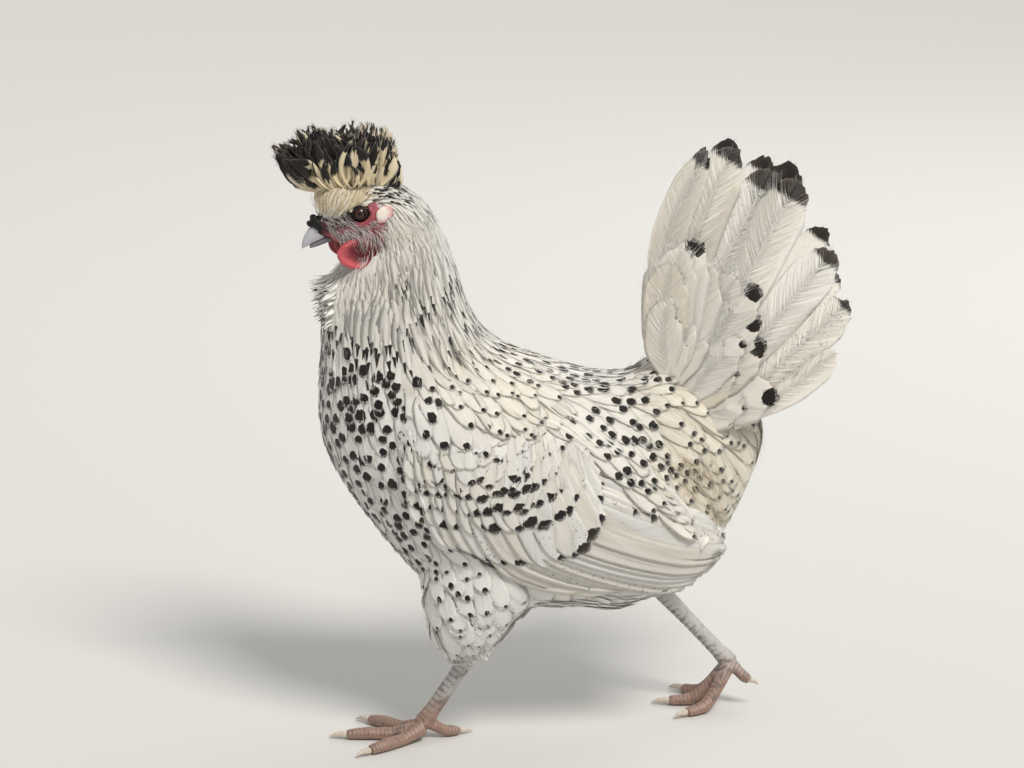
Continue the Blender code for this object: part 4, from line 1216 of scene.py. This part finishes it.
class HEN_OT_wings(bpy.types.Operator):
    """Lays the quills and coverts of both folded wings over a thin core"""

    bl_idname = "hen.wings"
    bl_label = "Wings"

    def execute(self, context):
        white = rgba(context.scene.hen_plumage.white)
        material = feather_keratin("white flight feather keratin", white, "EADFC8", "15100E", "2E231C",
                                   "C9C7C2", barb=0.9, downy=(300, 400), barb_gap_shade=0.35)
        along = np.linspace(0, 1, 17)
        for word, side in SIDES:
            rng = np.random.default_rng(40 + side)
            surface = wing_surface(word, side)
            lines, wide, spots, longs, flecks, roots = [], [], [], [], [], []
            for from_, to, count, half, spot, stretch, deep, bow, odds in WING_ROWS:
                shares = np.linspace(0, 1, count)
                for i, (root, tip) in enumerate(zip(along_rows(from_, shares), along_rows(to, shares))):
                    jig = rng.normal(0, 1.5, 4)
                    root, tip = root + jig[:2], tip + jig[2:]
                    x, z = bowed(root * MM, tip * MM, bow * MM, 16).T
                    under = SHOULDER[1] * np.maximum(z / MM - SHOULDER[0], 0)
                    y = surface(x, z) - side * (deep + LAP * i / count + 1 - along + under) * MM
                    lines.append(np.stack([x, y, z], axis=1))
                    wide.append(half * rng.uniform(0.9, 1.08) * MM)
                    spots.append(spot * rng.uniform(0.6, 1.2) * (rng.random() < odds))
                    longs.append(stretch)
                    flecks.append(0.6 * (rng.random() < 0.12))
                    roots.append(root)
            lines, wide, roots, count = np.array(lines), np.array(wide), np.array(roots), len(lines)
            ups = np.zeros_like(lines) + [0, side, 0]
            places = (roots - roots.min(axis=0)) / np.ptp(roots, axis=0) * 0.98 + 0.01
            obj = vanes(f"wing_feathers_{word}", lines, ups, wide, vane_shape(0.5, 0.25, 0.8, 0.7), places,
                        {"luck": rng.random(count), "spangle": spots, "stretch": longs, "fleck": flecks,
                         "cream": rng.uniform(0, 0.5, count)},
                        columns=8, camber=0.03, thick=0.25 * MM, ridge=0.1 * MM, ragged=0.45 * MM,
                        roll=0.02, tip=0.45, seed=50 + side)
            finish_piece(obj, material, "plumage", f"wing_{word}")
            obj = fringe(f"wing_fringe_{word}", lines, ups, wide, 14, 2.4 * MM,
                         rng.uniform(0.7, 1.0, count), places, 54 + side)
            finish_piece(obj, bpy.data.materials["loose barb keratin"], "plumage", f"wing_{word}")
            core = joined_copy(f"wing_core_{word}", [f"wing_{word}"], 1.6 * MM, 3)
            points = points_of(core)
            middle = (points.min(axis=0) + points.max(axis=0)) / 2
            points = middle + (points - middle) * (0.9, 1, 0.9)
            outer = side * (points[:, 1] - surface(points[:, 0], points[:, 2])) / MM + 5.8
            points[:, 1] -= side * np.maximum(outer, 0) * MM
            set_points(core, relax(points, core, 2))
            for key in ("bare", "rim", "hollow_shade", "spangle"):
                set_value(core, key, 0)
            finish_piece(core, bpy.data.materials["bare and downy hen skin"], "plumage", f"wing_{word}")
        return {"FINISHED"}


# ---------------------------------------------------------------- tail

# Tips of the main feathers, from the ridge down, as shares of the tail's box in x and z; how long
# their dark tip is in millimetres, how flecked they are, and their half width in millimetres.
TAIL_TIPS = (
    ((0.302, 0.975), 9, 0.0, 12.5), ((0.435, 0.995), 10, 0.0, 15.5), ((0.615, 0.925), 12, 0.5, 16),
    ((0.745, 0.900), 13, 0.2, 17), ((0.915, 0.660), 9, 0.1, 15), ((0.985, 0.490), 6, 0.6, 14),
    ((0.925, 0.325), 0, 0.0, 12),
)
TAIL_ROOTS = ((0.114, 0.22), (0.459, 0.02))  # of the ridge and of the lowest feather
TAIL_BOWS = ((-20, 5), (2, -1))
TAIL_ROOT_SPREAD = 0.64  # share of the half width that the roots stand apart
TAIL_SHAPE = vane_shape(0.3, 0.62, 0.88, 0.66)
COVERT_SHAPE = vane_shape(0.4, 0.4, 0.8, 0.6)
# Coverts over the root of the tail: root and tip in the same shares, half width, spangle
TAIL_COVERTS = (
    ((0.13, 0.20), (0.14, 0.60), 14, 0.0), ((0.14, 0.21), (0.19, 0.66), 14, 0.0),
    ((0.15, 0.20), (0.26, 0.68), 17, 6.6), ((0.16, 0.19), (0.34, 0.60), 17, 0.0),
    ((0.16, 0.17), (0.405, 0.50), 15, 3.8), ((0.20, 0.15), (0.46, 0.56), 15, 0.0),
    ((0.22, 0.14), (0.565, 0.525), 16, 6.4), ((0.24, 0.12), (0.57, 0.415), 16, 6.4),
    ((0.28, 0.10), (0.60, 0.33), 15, 6.4), ((0.34, 0.06), (0.66, 0.14), 14, 5.6),
    ((0.14, 0.17), (0.23, 0.44), 14, 0.0), ((0.13, 0.15), (0.31, 0.40), 14, 0.0),
    ((0.17, 0.12), (0.41, 0.32), 13, 1.6), ((0.20, 0.08), (0.47, 0.22), 13, 2.2),
    ((0.22, 0.03), (0.51, 0.10), 13, 2.0), ((0.13, 0.16), (0.19, 0.38), 13, 0.0),
    ((0.12, 0.19), (0.13, 0.47), 13, 0.0), ((0.20, 0.10), (0.50, 0.33), 14, 2.6),
)


def tail_box():
    """The lowest corner and the size of the tail's solid in x and z, and its half width."""
    low, high = (np.array(c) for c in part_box("tail"))
    return low[[0, 2]], (high - low)[[0, 2]], high[1]


def tail_place(place, along, side):
    """Points of the fan from the ridge (place 0) to the lowest feather (place 1)."""
    base, size, half_width = tail_box()
    tips = np.array([t[0] for t in TAIL_TIPS])
    at = np.clip(place * len(tips) - 0.5, 0, len(tips) - 1)
    i = min(int(at), len(tips) - 2)
    tip = base + (tips[i] + (tips[i + 1] - tips[i]) * (at - i)) * size
    root = base + (np.array(TAIL_ROOTS[0]) * (1 - place) + np.array(TAIL_ROOTS[1]) * place) * size
    bow = (np.array(TAIL_BOWS[0]) * (1 - place) ** 1.6 + np.array(TAIL_BOWS[1]) * place) * MM
    t = along[:, None]
    x, z = (root + (tip - root) * t + bow * 4 * t * (1 - t) * (1 - 0.25 * t)).T
    spread = half_width * (TAIL_ROOT_SPREAD + (1 - TAIL_ROOT_SPREAD) * along)
    return np.stack([x, side * (spread * place**0.85 + 1 * MM), z], axis=1)


def main_feathers(rng):
    """Shafts, ways up, half widths, dark tips, flecks and cream of the fan."""
    along = np.linspace(0, 1, 41)
    for _, side in SIDES:
        for k, (_, dip, fleck, half) in enumerate(TAIL_TIPS):
            place = (k + 0.5) / len(TAIL_TIPS)
            line = tail_place(place, along, side)
            near = tail_place(max(place - 0.04, 0), along, side)
            far = tail_place(min(place + 0.04, 1), along, side)
            up = unit(np.cross(far - near, np.gradient(line, axis=0))) * side
            up = up * np.where(up[:, 1:2] * side < 0, -1, 1)
            yield (line + up * (0.9 - 0.5 * k) * MM, up, (half + rng.uniform(-0.5, 0.5)) * MM,
                   dip * rng.uniform(0.8, 1.15), fleck, rng.uniform(0.2, 0.7))


def coverts(rng):
    """Shafts, ways up, half widths and spangles of the coverts, each over the one before."""
    along = np.linspace(0, 1, 21)
    base, size, half_width = tail_box()
    for _, side in SIDES:
        for order, (root, tip, half, spot) in enumerate(TAIL_COVERTS):
            x, z = bowed(base + np.array(root) * size, base + np.array(tip) * size, -4 * MM, 20).T
            deep = np.clip((x - z * 0.35 - (base[0] - base[1] * 0.35)) / 0.1, 0.1, 1)
            y = side * (half_width * (0.25 + 0.56 * deep) + (3.6 + 0.12 * order) * MM)
            up = np.tile(unit(np.array([-0.25, side, 0.2])), (len(along), 1))
            yield (np.stack([x, y, z], axis=1), up, half * rng.uniform(0.9, 1.1) * MM,
                   spot * rng.uniform(0.9, 1.1))


class HEN_OT_tail(bpy.types.Operator):
    """Fans the main tail feathers and lays the coverts over their roots"""

    bl_idname = "hen.tail"
    bl_label = "Tail"

    def execute(self, context):
        white = rgba(context.scene.hen_plumage.white)
        material = feather_keratin("white tail feather keratin", white, "EBE0CA", "120E0C", "1A1410",
                                   "CFCDC8", barb=1.1, downy=(300, 400), barb_gap_shade=0.35)
        loose = bpy.data.materials["loose barb keratin"]
        rng = np.random.default_rng(61)
        lines, ups, wide, dips, flecks, creams = (np.array(v) for v in zip(*main_feathers(rng)))
        count, places = len(lines), in_rows(len(lines))
        obj = vanes("tail_feathers", lines, ups, wide, TAIL_SHAPE, places,
                    {"luck": rng.random(count), "inset": 1, "dip": dips, "fleck": flecks, "cream": creams,
                     "slant": 0.75},
                    columns=12, camber=0.07, thick=0.3 * MM, ridge=0.3 * MM, ragged=0.7 * MM, tip=0.5,
                    seed=62)
        finish_piece(obj, material, "plumage", "tail")
        obj = barbs("tail_barbs", lines, ups, wide, TAIL_SHAPE, 1.1 * MM, 0.07, dips, np.zeros(count),
                    places, 64)
        finish_piece(obj, loose, "plumage", "tail")
        lines, ups, wide, spots = (np.array(v) for v in zip(*coverts(rng)))
        count, places = len(lines), in_rows(len(lines))
        obj = vanes("tail_coverts", lines, ups, wide, COVERT_SHAPE, places,
                    {"luck": rng.random(count), "spangle": spots, "inset": 0.75,
                     "cream": rng.uniform(0.3, 0.9, count), "slant": 0.75},
                    columns=10, camber=0.05, thick=0.25 * MM, ridge=0.15 * MM, ragged=0.9 * MM, tip=0.5,
                    seed=63)
        finish_piece(obj, material, "plumage", "tail")
        obj = fringe("covert_fringe", lines, ups, wide, 40, 5.0 * MM, rng.uniform(0.8, 1.0, count),
                     places, 65, radius=0.14 * MM, inset=2.5 * MM)
        finish_piece(obj, loose, "plumage", "tail")
        no_dip, past_spot = np.full(count, -99.0), spots * 2.6 + 8 * (spots > 0)
        obj = barbs("covert_barbs", lines, ups, wide, COVERT_SHAPE, 1.3 * MM, 0.05, no_dip, past_spot,
                    places, 66)
        finish_piece(obj, loose, "plumage", "tail")
        return {"FINISHED"}


# ---------------------------------------------------------------- crest

# The fan of the crest in the head's own straight lie: x, z of its roots and of its tips, mm.
CREST_ROOTS = ((-156, 359), (-150, 359.5), (-136, 360), (-121, 361), (-108, 360))
CREST_TIPS = (
    (-177, 375.5), (-181, 380), (-183, 385), (-183, 390), (-174, 392.5), (-168, 397.5), (-162, 402),
    (-156, 402.5), (-149, 400.5), (-142, 402), (-134, 403), (-126, 403), (-118, 402.5), (-111, 401),
    (-105.5, 396), (-102, 388), (-103.5, 379), (-107, 371),
)
LOCKS = 34


class HEN_PG_crest(bpy.types.PropertyGroup):
    count: IntProperty(name="Feathers", description="How many narrow feathers make the crest", default=460)
    cream: FloatVectorProperty(name="Cream", description="Ground colour of the crest", subtype="COLOR",
                               size=3, default=linear("F2E8CE")[:3])


class HEN_OT_crest(bpy.types.Operator):
    """Raises the blown fan of narrow crest feathers"""

    bl_idname = "hen.crest"
    bl_label = "Crest"

    def execute(self, context):
        settings = context.scene.hen_crest
        count = settings.count
        rng = np.random.default_rng(71)
        low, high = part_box("crest")
        half = (high[1] - low[1]) / 2 * 0.86
        # feathers stand in locks that share a place, a bow and a reach
        lock = rng.integers(0, LOCKS, count)
        lock_t = ((np.arange(LOCKS) + rng.uniform(0.1, 0.9, LOCKS)) / LOCKS)[lock]
        lock_out = rng.uniform(-0.9, 0.9, LOCKS)[lock]
        lock_bow = rng.normal(1.5, 3.6, LOCKS)[lock]
        lock_reach = rng.uniform(0.86, 1.03, LOCKS)[lock]
        t = np.clip(lock_t + rng.normal(0, 0.07, count), 0, 1)
        out = np.clip(lock_out + rng.normal(0, 0.35, count), -1, 1)
        reach = np.where(rng.random(count) < 0.55, rng.uniform(0.86, 1.0, count),
                         rng.uniform(0.4, 0.86, count)) * lock_reach * (1 - 0.16 * out**2)
        roots = along_rows(CREST_ROOTS, t) * MM
        tips = along_rows(CREST_TIPS, np.clip(lock_t + 0.6 * (t - lock_t), 0, 1)) * MM
        long = (tips - roots) * reach[:, None]
        along = np.linspace(0, 1, 10)
        away = unit(long)
        square = np.stack([away[:, 1], -away[:, 0]], axis=1)
        bow = (rng.normal(0, 1.4, count) + lock_bow) * MM
        x, z = np.moveaxis(roots[:, None] + long[:, None] * along[:, None] + square[:, None]
                           * (bow[:, None] * 4 * along * (1 - along))[:, :, None], -1, 0)
        root_y, tip_y = out * 9 * MM, out * half * (0.34 + 0.66 * np.sin(np.pi * (0.12 + 0.8 * t)))
        y = root_y[:, None] + (tip_y - root_y)[:, None] * np.sin(np.pi / 2 * along) ** 0.9
        lines = head_turned(np.stack([x, y, z], axis=2))
        face = np.stack([np.zeros(count), np.sign(out) * (0.3 + np.abs(out)), np.full(count, 0.4)], axis=1)
        face = unit(face + rng.normal(0, 0.35, (count, 3)))
        ups = np.repeat(face[:, None], len(along), axis=1)
        front = smooth(0.95, 0.4, t)
        dip = 4 + np.linalg.norm(long, axis=1) / MM * rng.uniform(0.2, 0.6, count) * front
        dip = dip * (rng.random(count) < 0.35 + 0.55 * front)
        half_width = rng.uniform(1.5, 4.0, count)
        spot = half_width * rng.uniform(0.6, 0.95, count) * (rng.random(count) < 0.62)
        places = np.stack([0.02 + 0.96 * t, 0.5 + 0.48 * out], axis=1)
        material = feather_keratin("crest feather keratin", rgba(settings.cream), "E6CD9A", "0F0C0A",
                                   "1D1612", "D6C49A", shaft="E6D6AE", barb=1.2)
        obj = vanes("crest_feathers", lines, ups, half_width * MM, vane_shape(0.35, 0.6, 0.72, 0.3), places,
                    {"luck": rng.random(count), "spangle": spot, "stretch": rng.uniform(2.2, 3.6, count),
                     "inset": rng.uniform(0.9, 1.4, count), "dip": dip,
                     "cream": rng.uniform(0.3, 1.0, count), "slant": 0.3},
                    columns=4, camber=0.2, thick=0.22 * MM, ragged=0.4 * MM, roll=0.45, tip=0.6, seed=72)
        finish_piece(obj, material, "crest_feather", "crest")
        tone = np.where(dip > 0, -0.45, 0.75) + rng.uniform(0, 0.2, count)
        obj = fringe("crest_wisps", lines, ups, half_width * MM, 7, 4.0 * MM, tone, places, 73,
                     inset=1.6 * MM)
        finish_piece(obj, down_keratin("crest barb keratin", "EFE0BC", "14100D"), "crest_feather", "crest")
        return {"FINISHED"}


# ---------------------------------------------------------------- head pieces


class HEN_PG_face(bpy.types.PropertyGroup):
    iris: FloatVectorProperty(name="Iris", description="Colour of the iris", subtype="COLOR", size=3,
                              default=linear("6A3018")[:3])
    wattle: FloatVectorProperty(name="Wattles", description="Light red of the wattles", subtype="COLOR",
                                size=3, default=linear("CE5E66")[:3])


class HEN_OT_eyes(bpy.types.Operator):
    """Makes both eyes, each a wet ball with a raised cornea"""

    bl_idname = "hen.eyes"
    bl_label = "Eyes"

    def execute(self, context):
        iris = rgba(context.scene.hen_face.iris)
        material = wet_eye("living eye", iris, "34160C", "3A1408", "050404", "150E0C")
        for word, side in SIDES:
            middle, out, back, up, radius = eye_frame(word, side)
            ball, corners, sizes = ball_mesh((0, 0, 0), np.eye(3), 28, 40)
            across, ahead = np.hypot(ball[:, 0], ball[:, 1]), ball[:, 2]
            ball[:, 2] *= 1 + 0.07 * np.exp(-((across / 0.5) ** 2)) * (ahead > -0.02)
            points = middle + ball @ np.array([back, up, out]) * radius * 0.97
            obj = mesh_object(f"eyeball_{word}", points, corners, sizes)
            set_value(obj, "from_pupil", np.where(ahead > 1e-9, across * radius / MM, 9.0))
            apply_modifier(obj, "WELD", merge_threshold=0.001 * MM)
            work = bmesh.new()
            work.from_mesh(obj.data)
            bmesh.ops.recalc_face_normals(work, faces=work.faces)
            work.to_mesh(obj.data)
            work.free()
            obj.data.shade_smooth()
            finish_piece(obj, material, "eye", f"eye_{word}")
        return {"FINISHED"}


# Lumps of the comb beside the nostrils in the head's straight lie: place and half sizes, mm
COMB_LUMPS = (
    (-147.5, 4.6, 338.0, 6.0, 3.8, 4.2), (-152.5, 4.0, 336.2, 4.6, 3.6, 3.4),
    (-156.5, 2.4, 340.6, 2.4, 1.8, 2.2), (-151.0, 3.6, 341.6, 2.6, 2.0, 2.4),
    (-146.0, 4.6, 341.8, 2.6, 2.2, 2.4), (-159.2, 1.6, 337.2, 2.0, 1.6, 1.8),
    (-143.5, 7.6, 338.4, 3.2, 2.0, 2.6),
)


class HEN_OT_bill(bpy.types.Operator):
    """Smooths the two halves of the bill and the comb over the nostrils"""

    bl_idname = "hen.bill"
    bl_label = "Bill and comb"

    def execute(self, context):
        # The lower half is the same horn as the upper, coloured darker as painted shade beneath the upper
        # half.
        for name, material, pale, tip in (("bill_upper", "pale bill horn", "A3A8B2", "D0C5C0"),
                                          ("bill_lower", "lower bill horn in painted shade", "6A6C74", "8E8884")):
            obj = joined_copy(f"{name}_horn", [name], 0.4 * MM, 2)
            finish_piece(obj, bill_horn(material, pale, tip), "bill_horn", name)
        lumps = [(head_turned(np.array([x, y * side, z]) * MM), np.diag(half) * MM)
                 for x, y, z, *half in COMB_LUMPS for side in (-1, 1)]
        obj = joined_copy("comb_skin", ["comb"], 0.5 * MM, 2, lumps)
        set_value(obj, "edge", 0)
        # The comb's own red is coloured near black here, as painted shade under the crest.
        finish_piece(obj, bare_skin("comb skin in painted shade", "0B0A0A", "2B2223", 900.0, 0.5), "comb", "comb")
        return {"FINISHED"}


# A wattle's middle on one side and its half sizes, in the head's straight lie, mm
WATTLE, WATTLE_HALF = (-129.6, 17.0, 320.2), (15.6, 2.6, 10.4)


class HEN_OT_wattles(bpy.types.Operator):
    """Shapes the cupped red wattles and the pale ear lobes"""

    bl_idname = "hen.wattles"
    bl_label = "Wattles and lobes"

    def execute(self, context):
        # The wattles' deep red is painted shade in their cups and their light red their own colour, with
        # painted light along the rims.
        red = bare_skin("red wattle skin with painted light and shade", "520F18", rgba(context.scene.hen_face.wattle), 1100.0, 0.36)
        pale = bare_skin("off-white lobe skin", "C4838A", "E4DACE", 1000.0, 0.5)
        for word, side in SIDES:
            middle = head_turned(np.array(WATTLE) * [1, side, 1] * MM)
            disc = swung(np.diag(WATTLE_HALF), HEAD_TURN) * MM
            obj = joined_copy(f"wattle_skin_{word}", [f"wattle_{word}"], 0.6 * MM, 4, [(middle, disc)])
            points = points_of(obj)
            x, _, z = ((points - middle) / np.ptp(points, axis=0) * 2).T
            far = np.hypot(x, z)
            behind = np.cos(np.arctan2(z, x) - 0.9)
            outer = smooth(-0.3, 0.5, (points[:, 1] - middle[1]) * side / MM)
            cup = smooth(0.8, 0.15, far - 0.16 * behind) * 2.6 * MM
            lip = 1.1 * MM * np.exp(-(((far - 0.82) / 0.16) ** 2)) * smooth(0.7, -0.1, behind)
            flare = 0.3 * np.maximum(points[:, 0] - middle[0], 0)
            points[:, 1] += side * (flare - (cup - lip) * outer)
            set_points(obj, relax(points, obj, 2))
            # Painted light and shade: the wattle is lighter along its rim, most towards the front and bottom
            # and on its outer face where light falls, and deep red in the cup as painted shade; the thin rim
            # is a little paler of itself too.
            set_value(obj, "edge", smooth(0.35, 0.85, far) * (0.62 - 0.42 * behind) * (0.4 + 0.6 * outer))
            obj.data.shade_smooth()
            finish_piece(obj, red, "red_skin", f"wattle_{word}")
            obj = joined_copy(f"lobe_{word}", [f"earlobe_{word}"], 0.5 * MM, 4)
            points, middle = points_of(obj), centre_of(f"earlobe_{word}")
            share = (points - middle) / np.ptp(points, axis=0) * 2 + [0.25, 0, -0.15]
            set_points(obj, middle + (points - middle) * (1.1, 1.15, 1.1))
            set_value(obj, "edge", smooth(1.2, 0.35, np.hypot(share[:, 0], share[:, 2])))
            finish_piece(obj, pale, "lobe_skin", f"earlobe_{word}")
        return {"FINISHED"}


# ---------------------------------------------------------------- legs

TOES = ("middle", "inner", "outer", "hind")


class HEN_PG_legs(bpy.types.PropertyGroup):
    shank_scute: FloatProperty(name="Shank scute", description="Height of one plate down the shank",
                               default=4.2 * MM, unit="LENGTH")
    toe_scute: FloatProperty(name="Toe scute", description="Length of one plate along a toe",
                             default=2.6 * MM, unit="LENGTH")


def leg_lines(word):
    """The middle lines of a leg: down the shank, and from the ball of the foot along each toe."""
    shank = points_of(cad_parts[f"shank_{word}"])
    top, low = np.percentile(shank[:, 2], 92), np.percentile(shank[:, 2], 10)
    ball = shank[shank[:, 2] <= low].mean(axis=0)
    lines = [("shank", shank[shank[:, 2] >= top].mean(axis=0), ball)]
    for toe in TOES:
        height = ball[2] if toe == "hind" else min(ball[2], 12 * MM)
        lines.append((toe, np.array([ball[0], ball[1], height]), centre_of(f"claw_{word}_{toe}")))
    return lines


class HEN_OT_legs(bpy.types.Operator):
    """Covers the shanks and toes with scutes and reticulate scales, and smooths the claws"""

    bl_idname = "hen.legs"
    bl_label = "Legs"

    def execute(self, context):
        settings = context.scene.hen_legs
        scale = leg_scale("dry leg scute horn", "ABAAA7", "937769", "5A5350", "3F3936")
        horn = claw_horn("worn claw horn", "D9CFC0", "9A8B7A")
        for word, _ in SIDES:
            nodes = [f"shank_{word}", *(f"toe_{word}_{toe}" for toe in TOES)]
            obj = joined_copy(f"leg_{word}", nodes, 0.7 * MM, 3)
            points, normals = points_of(obj), normals_of(obj)
            best, run, front = np.full(len(points), 9.0), np.zeros(len(points)), np.zeros(len(points))
            for name, start, end in leg_lines(word):
                length = np.linalg.norm(end - start)
                axis = (end - start) / length
                along = (points - start) @ axis
                far = np.linalg.norm(points - start - axis * np.clip(along, 0, length)[:, None], axis=1)
                face = unit(np.array([-1.0, 0, 0.2] if name == "shank" else [0.0, 0, 1.0]))
                size = settings.shank_scute if name == "shank" else settings.toe_scute
                mine = far < best
                best[mine], run[mine], front[mine] = far[mine], along[mine] / size, (normals @ face)[mine]
            saw = run - np.floor(run)
            plate = smooth(-0.15, 0.25, front)
            lift = smooth(0, 0.25, saw) * (1 - 0.55 * saw) * 0.55 * MM * plate
            points = points + normals * (lift - 0.15 * MM)[:, None]
            points[:, 2] = np.maximum(points[:, 2], 0)
            set_points(obj, points)
            set_value(obj, "groove", smooth(0.16, 0.0, np.minimum(saw, 1 - saw)) * plate * 0.8)
            obj.data.shade_smooth()
            finish_piece(obj, scale, "scaled_leg", *nodes)
            for toe in TOES:
                claw = joined_copy(f"claw_horn_{word}_{toe}", [f"claw_{word}_{toe}"], 0.35 * MM, 2)
                finish_piece(claw, horn, "claw", f"claw_{word}_{toe}")
        return {"FINISHED"}


# ---------------------------------------------------------------- stage


class HEN_PG_stage(bpy.types.PropertyGroup):
    distance: FloatProperty(name="Distance", description="Camera to hen", default=2.4, unit="LENGTH")
    height: FloatProperty(name="Elevation", description="Angle above level", default=math.radians(15),
                          subtype="ANGLE")
    lens: FloatProperty(name="Lens", description="Focal length in millimetres", default=131.8)
    floor: FloatVectorProperty(name="Floor", description="Colour of the floor", subtype="COLOR", size=3,
                               default=linear("C9C8C5")[:3])


AIM_AHEAD = -30.6 * MM  # the camera aims a little ahead of the hen's middle
AIM_HEIGHT = 0.568  # and at this share of its height
FLOOR_HALF = 9.0  # metres
LIGHTS = (
    # name, kind, place, power, size in metres or radians, colour
    ("key_light", "SUN", (0.75, -1.2, 2.1), 2.65, math.radians(20), "FFFCF7"),
    ("rim_softbox", "AREA", (0.9, 1.4, 1.5), 12, 1.2, "FFFFFF"),
)


def placed(name, data, place, aim):
    """An object linked to the scene at a place, turned to look at aim."""
    obj = bpy.data.objects.new(name, data)
    obj.location = place
    obj.rotation_euler = (aim - Vector(place)).to_track_quat("-Z", "Y").to_euler()
    bpy.context.scene.collection.objects.link(obj)
    return obj


class HEN_OT_stage(bpy.types.Operator):
    """Sets the pale floor, the soft lights and the camera"""

    bl_idname = "hen.stage"
    bl_label = "Stage"

    def execute(self, context):
        scene, settings = context.scene, context.scene.hen_stage
        corners = np.array([(-1, -1, 0), (1, -1, 0), (1, 1, 0), (-1, 1, 0)]) * FLOOR_HALF
        floor = mesh_object("studio_floor", corners, [0, 1, 2, 3], [4])
        floor.location.z = -0.1 * MM
        floor.data.materials.append(floor_paint("matt floor emulsion", rgba(settings.floor)))
        scene.world = bpy.data.worlds.new("studio")
        scene.world.use_nodes = True
        sky = scene.world.node_tree.nodes["Background"]
        sky.inputs["Color"].default_value = linear("EFEEEC")
        sky.inputs["Strength"].default_value = 0.6
        scene.view_settings.view_transform = "Standard"
        aim = Vector((AIM_AHEAD, 0, CAD_BOX[1][2] * AIM_HEIGHT))
        for name, kind, place, power, size, colour in LIGHTS:
            data = bpy.data.lights.new(name, kind)
            data.energy = power
            setattr(data, "angle" if kind == "SUN" else "size", size)
            data.color = linear(colour)[:3]
            placed(name, data, place, aim)
        back = Vector((0, -math.cos(settings.height), math.sin(settings.height)))
        camera = placed("camera", bpy.data.cameras.new("camera"), aim + back * settings.distance, aim)
        camera.data.lens = settings.lens
        camera.data.sensor_width = 36
        camera.data.clip_start = 0.05
        scene.camera = camera
        return {"FINISHED"}


# ---------------------------------------------------------------- panel and registration

STEPS = (HEN_OT_skin, HEN_OT_body_plumage, HEN_OT_fluff, HEN_OT_wings, HEN_OT_tail, HEN_OT_crest,
         HEN_OT_eyes, HEN_OT_bill, HEN_OT_wattles, HEN_OT_legs, HEN_OT_stage)
GROUPS = (("hen_skin", HEN_PG_skin), ("hen_plumage", HEN_PG_plumage), ("hen_crest", HEN_PG_crest),
          ("hen_face", HEN_PG_face), ("hen_legs", HEN_PG_legs), ("hen_stage", HEN_PG_stage))


class HEN_PT_panel(bpy.types.Panel):
    """Sizes, colours and steps of the hen"""

    bl_idname = "HEN_PT_panel"
    bl_label = "Crested Hen"
    bl_space_type = "VIEW_3D"
    bl_region_type = "UI"
    bl_category = "Hen"

    def draw(self, context):
        layout = self.layout
        for key, group in GROUPS:
            box = layout.box()
            for name in group.__annotations__:
                box.prop(getattr(context.scene, key), name)
        for step in STEPS:
            layout.operator(step.bl_idname)


def register():
    for key, group in GROUPS:
        bpy.utils.register_class(group)
        setattr(bpy.types.Scene, key, PointerProperty(type=group))
    for item in (*STEPS, HEN_PT_panel):
        bpy.utils.register_class(item)


def unregister():
    for item in (HEN_PT_panel, *reversed(STEPS)):
        bpy.utils.unregister_class(item)
    for key, group in reversed(GROUPS):
        delattr(bpy.types.Scene, key)
        bpy.utils.unregister_class(group)


def main():
    register()
    for step in STEPS:
        family, name = step.bl_idname.split(".")
        getattr(getattr(bpy.ops, family), name)()


if __name__ == "__main__":
    main()
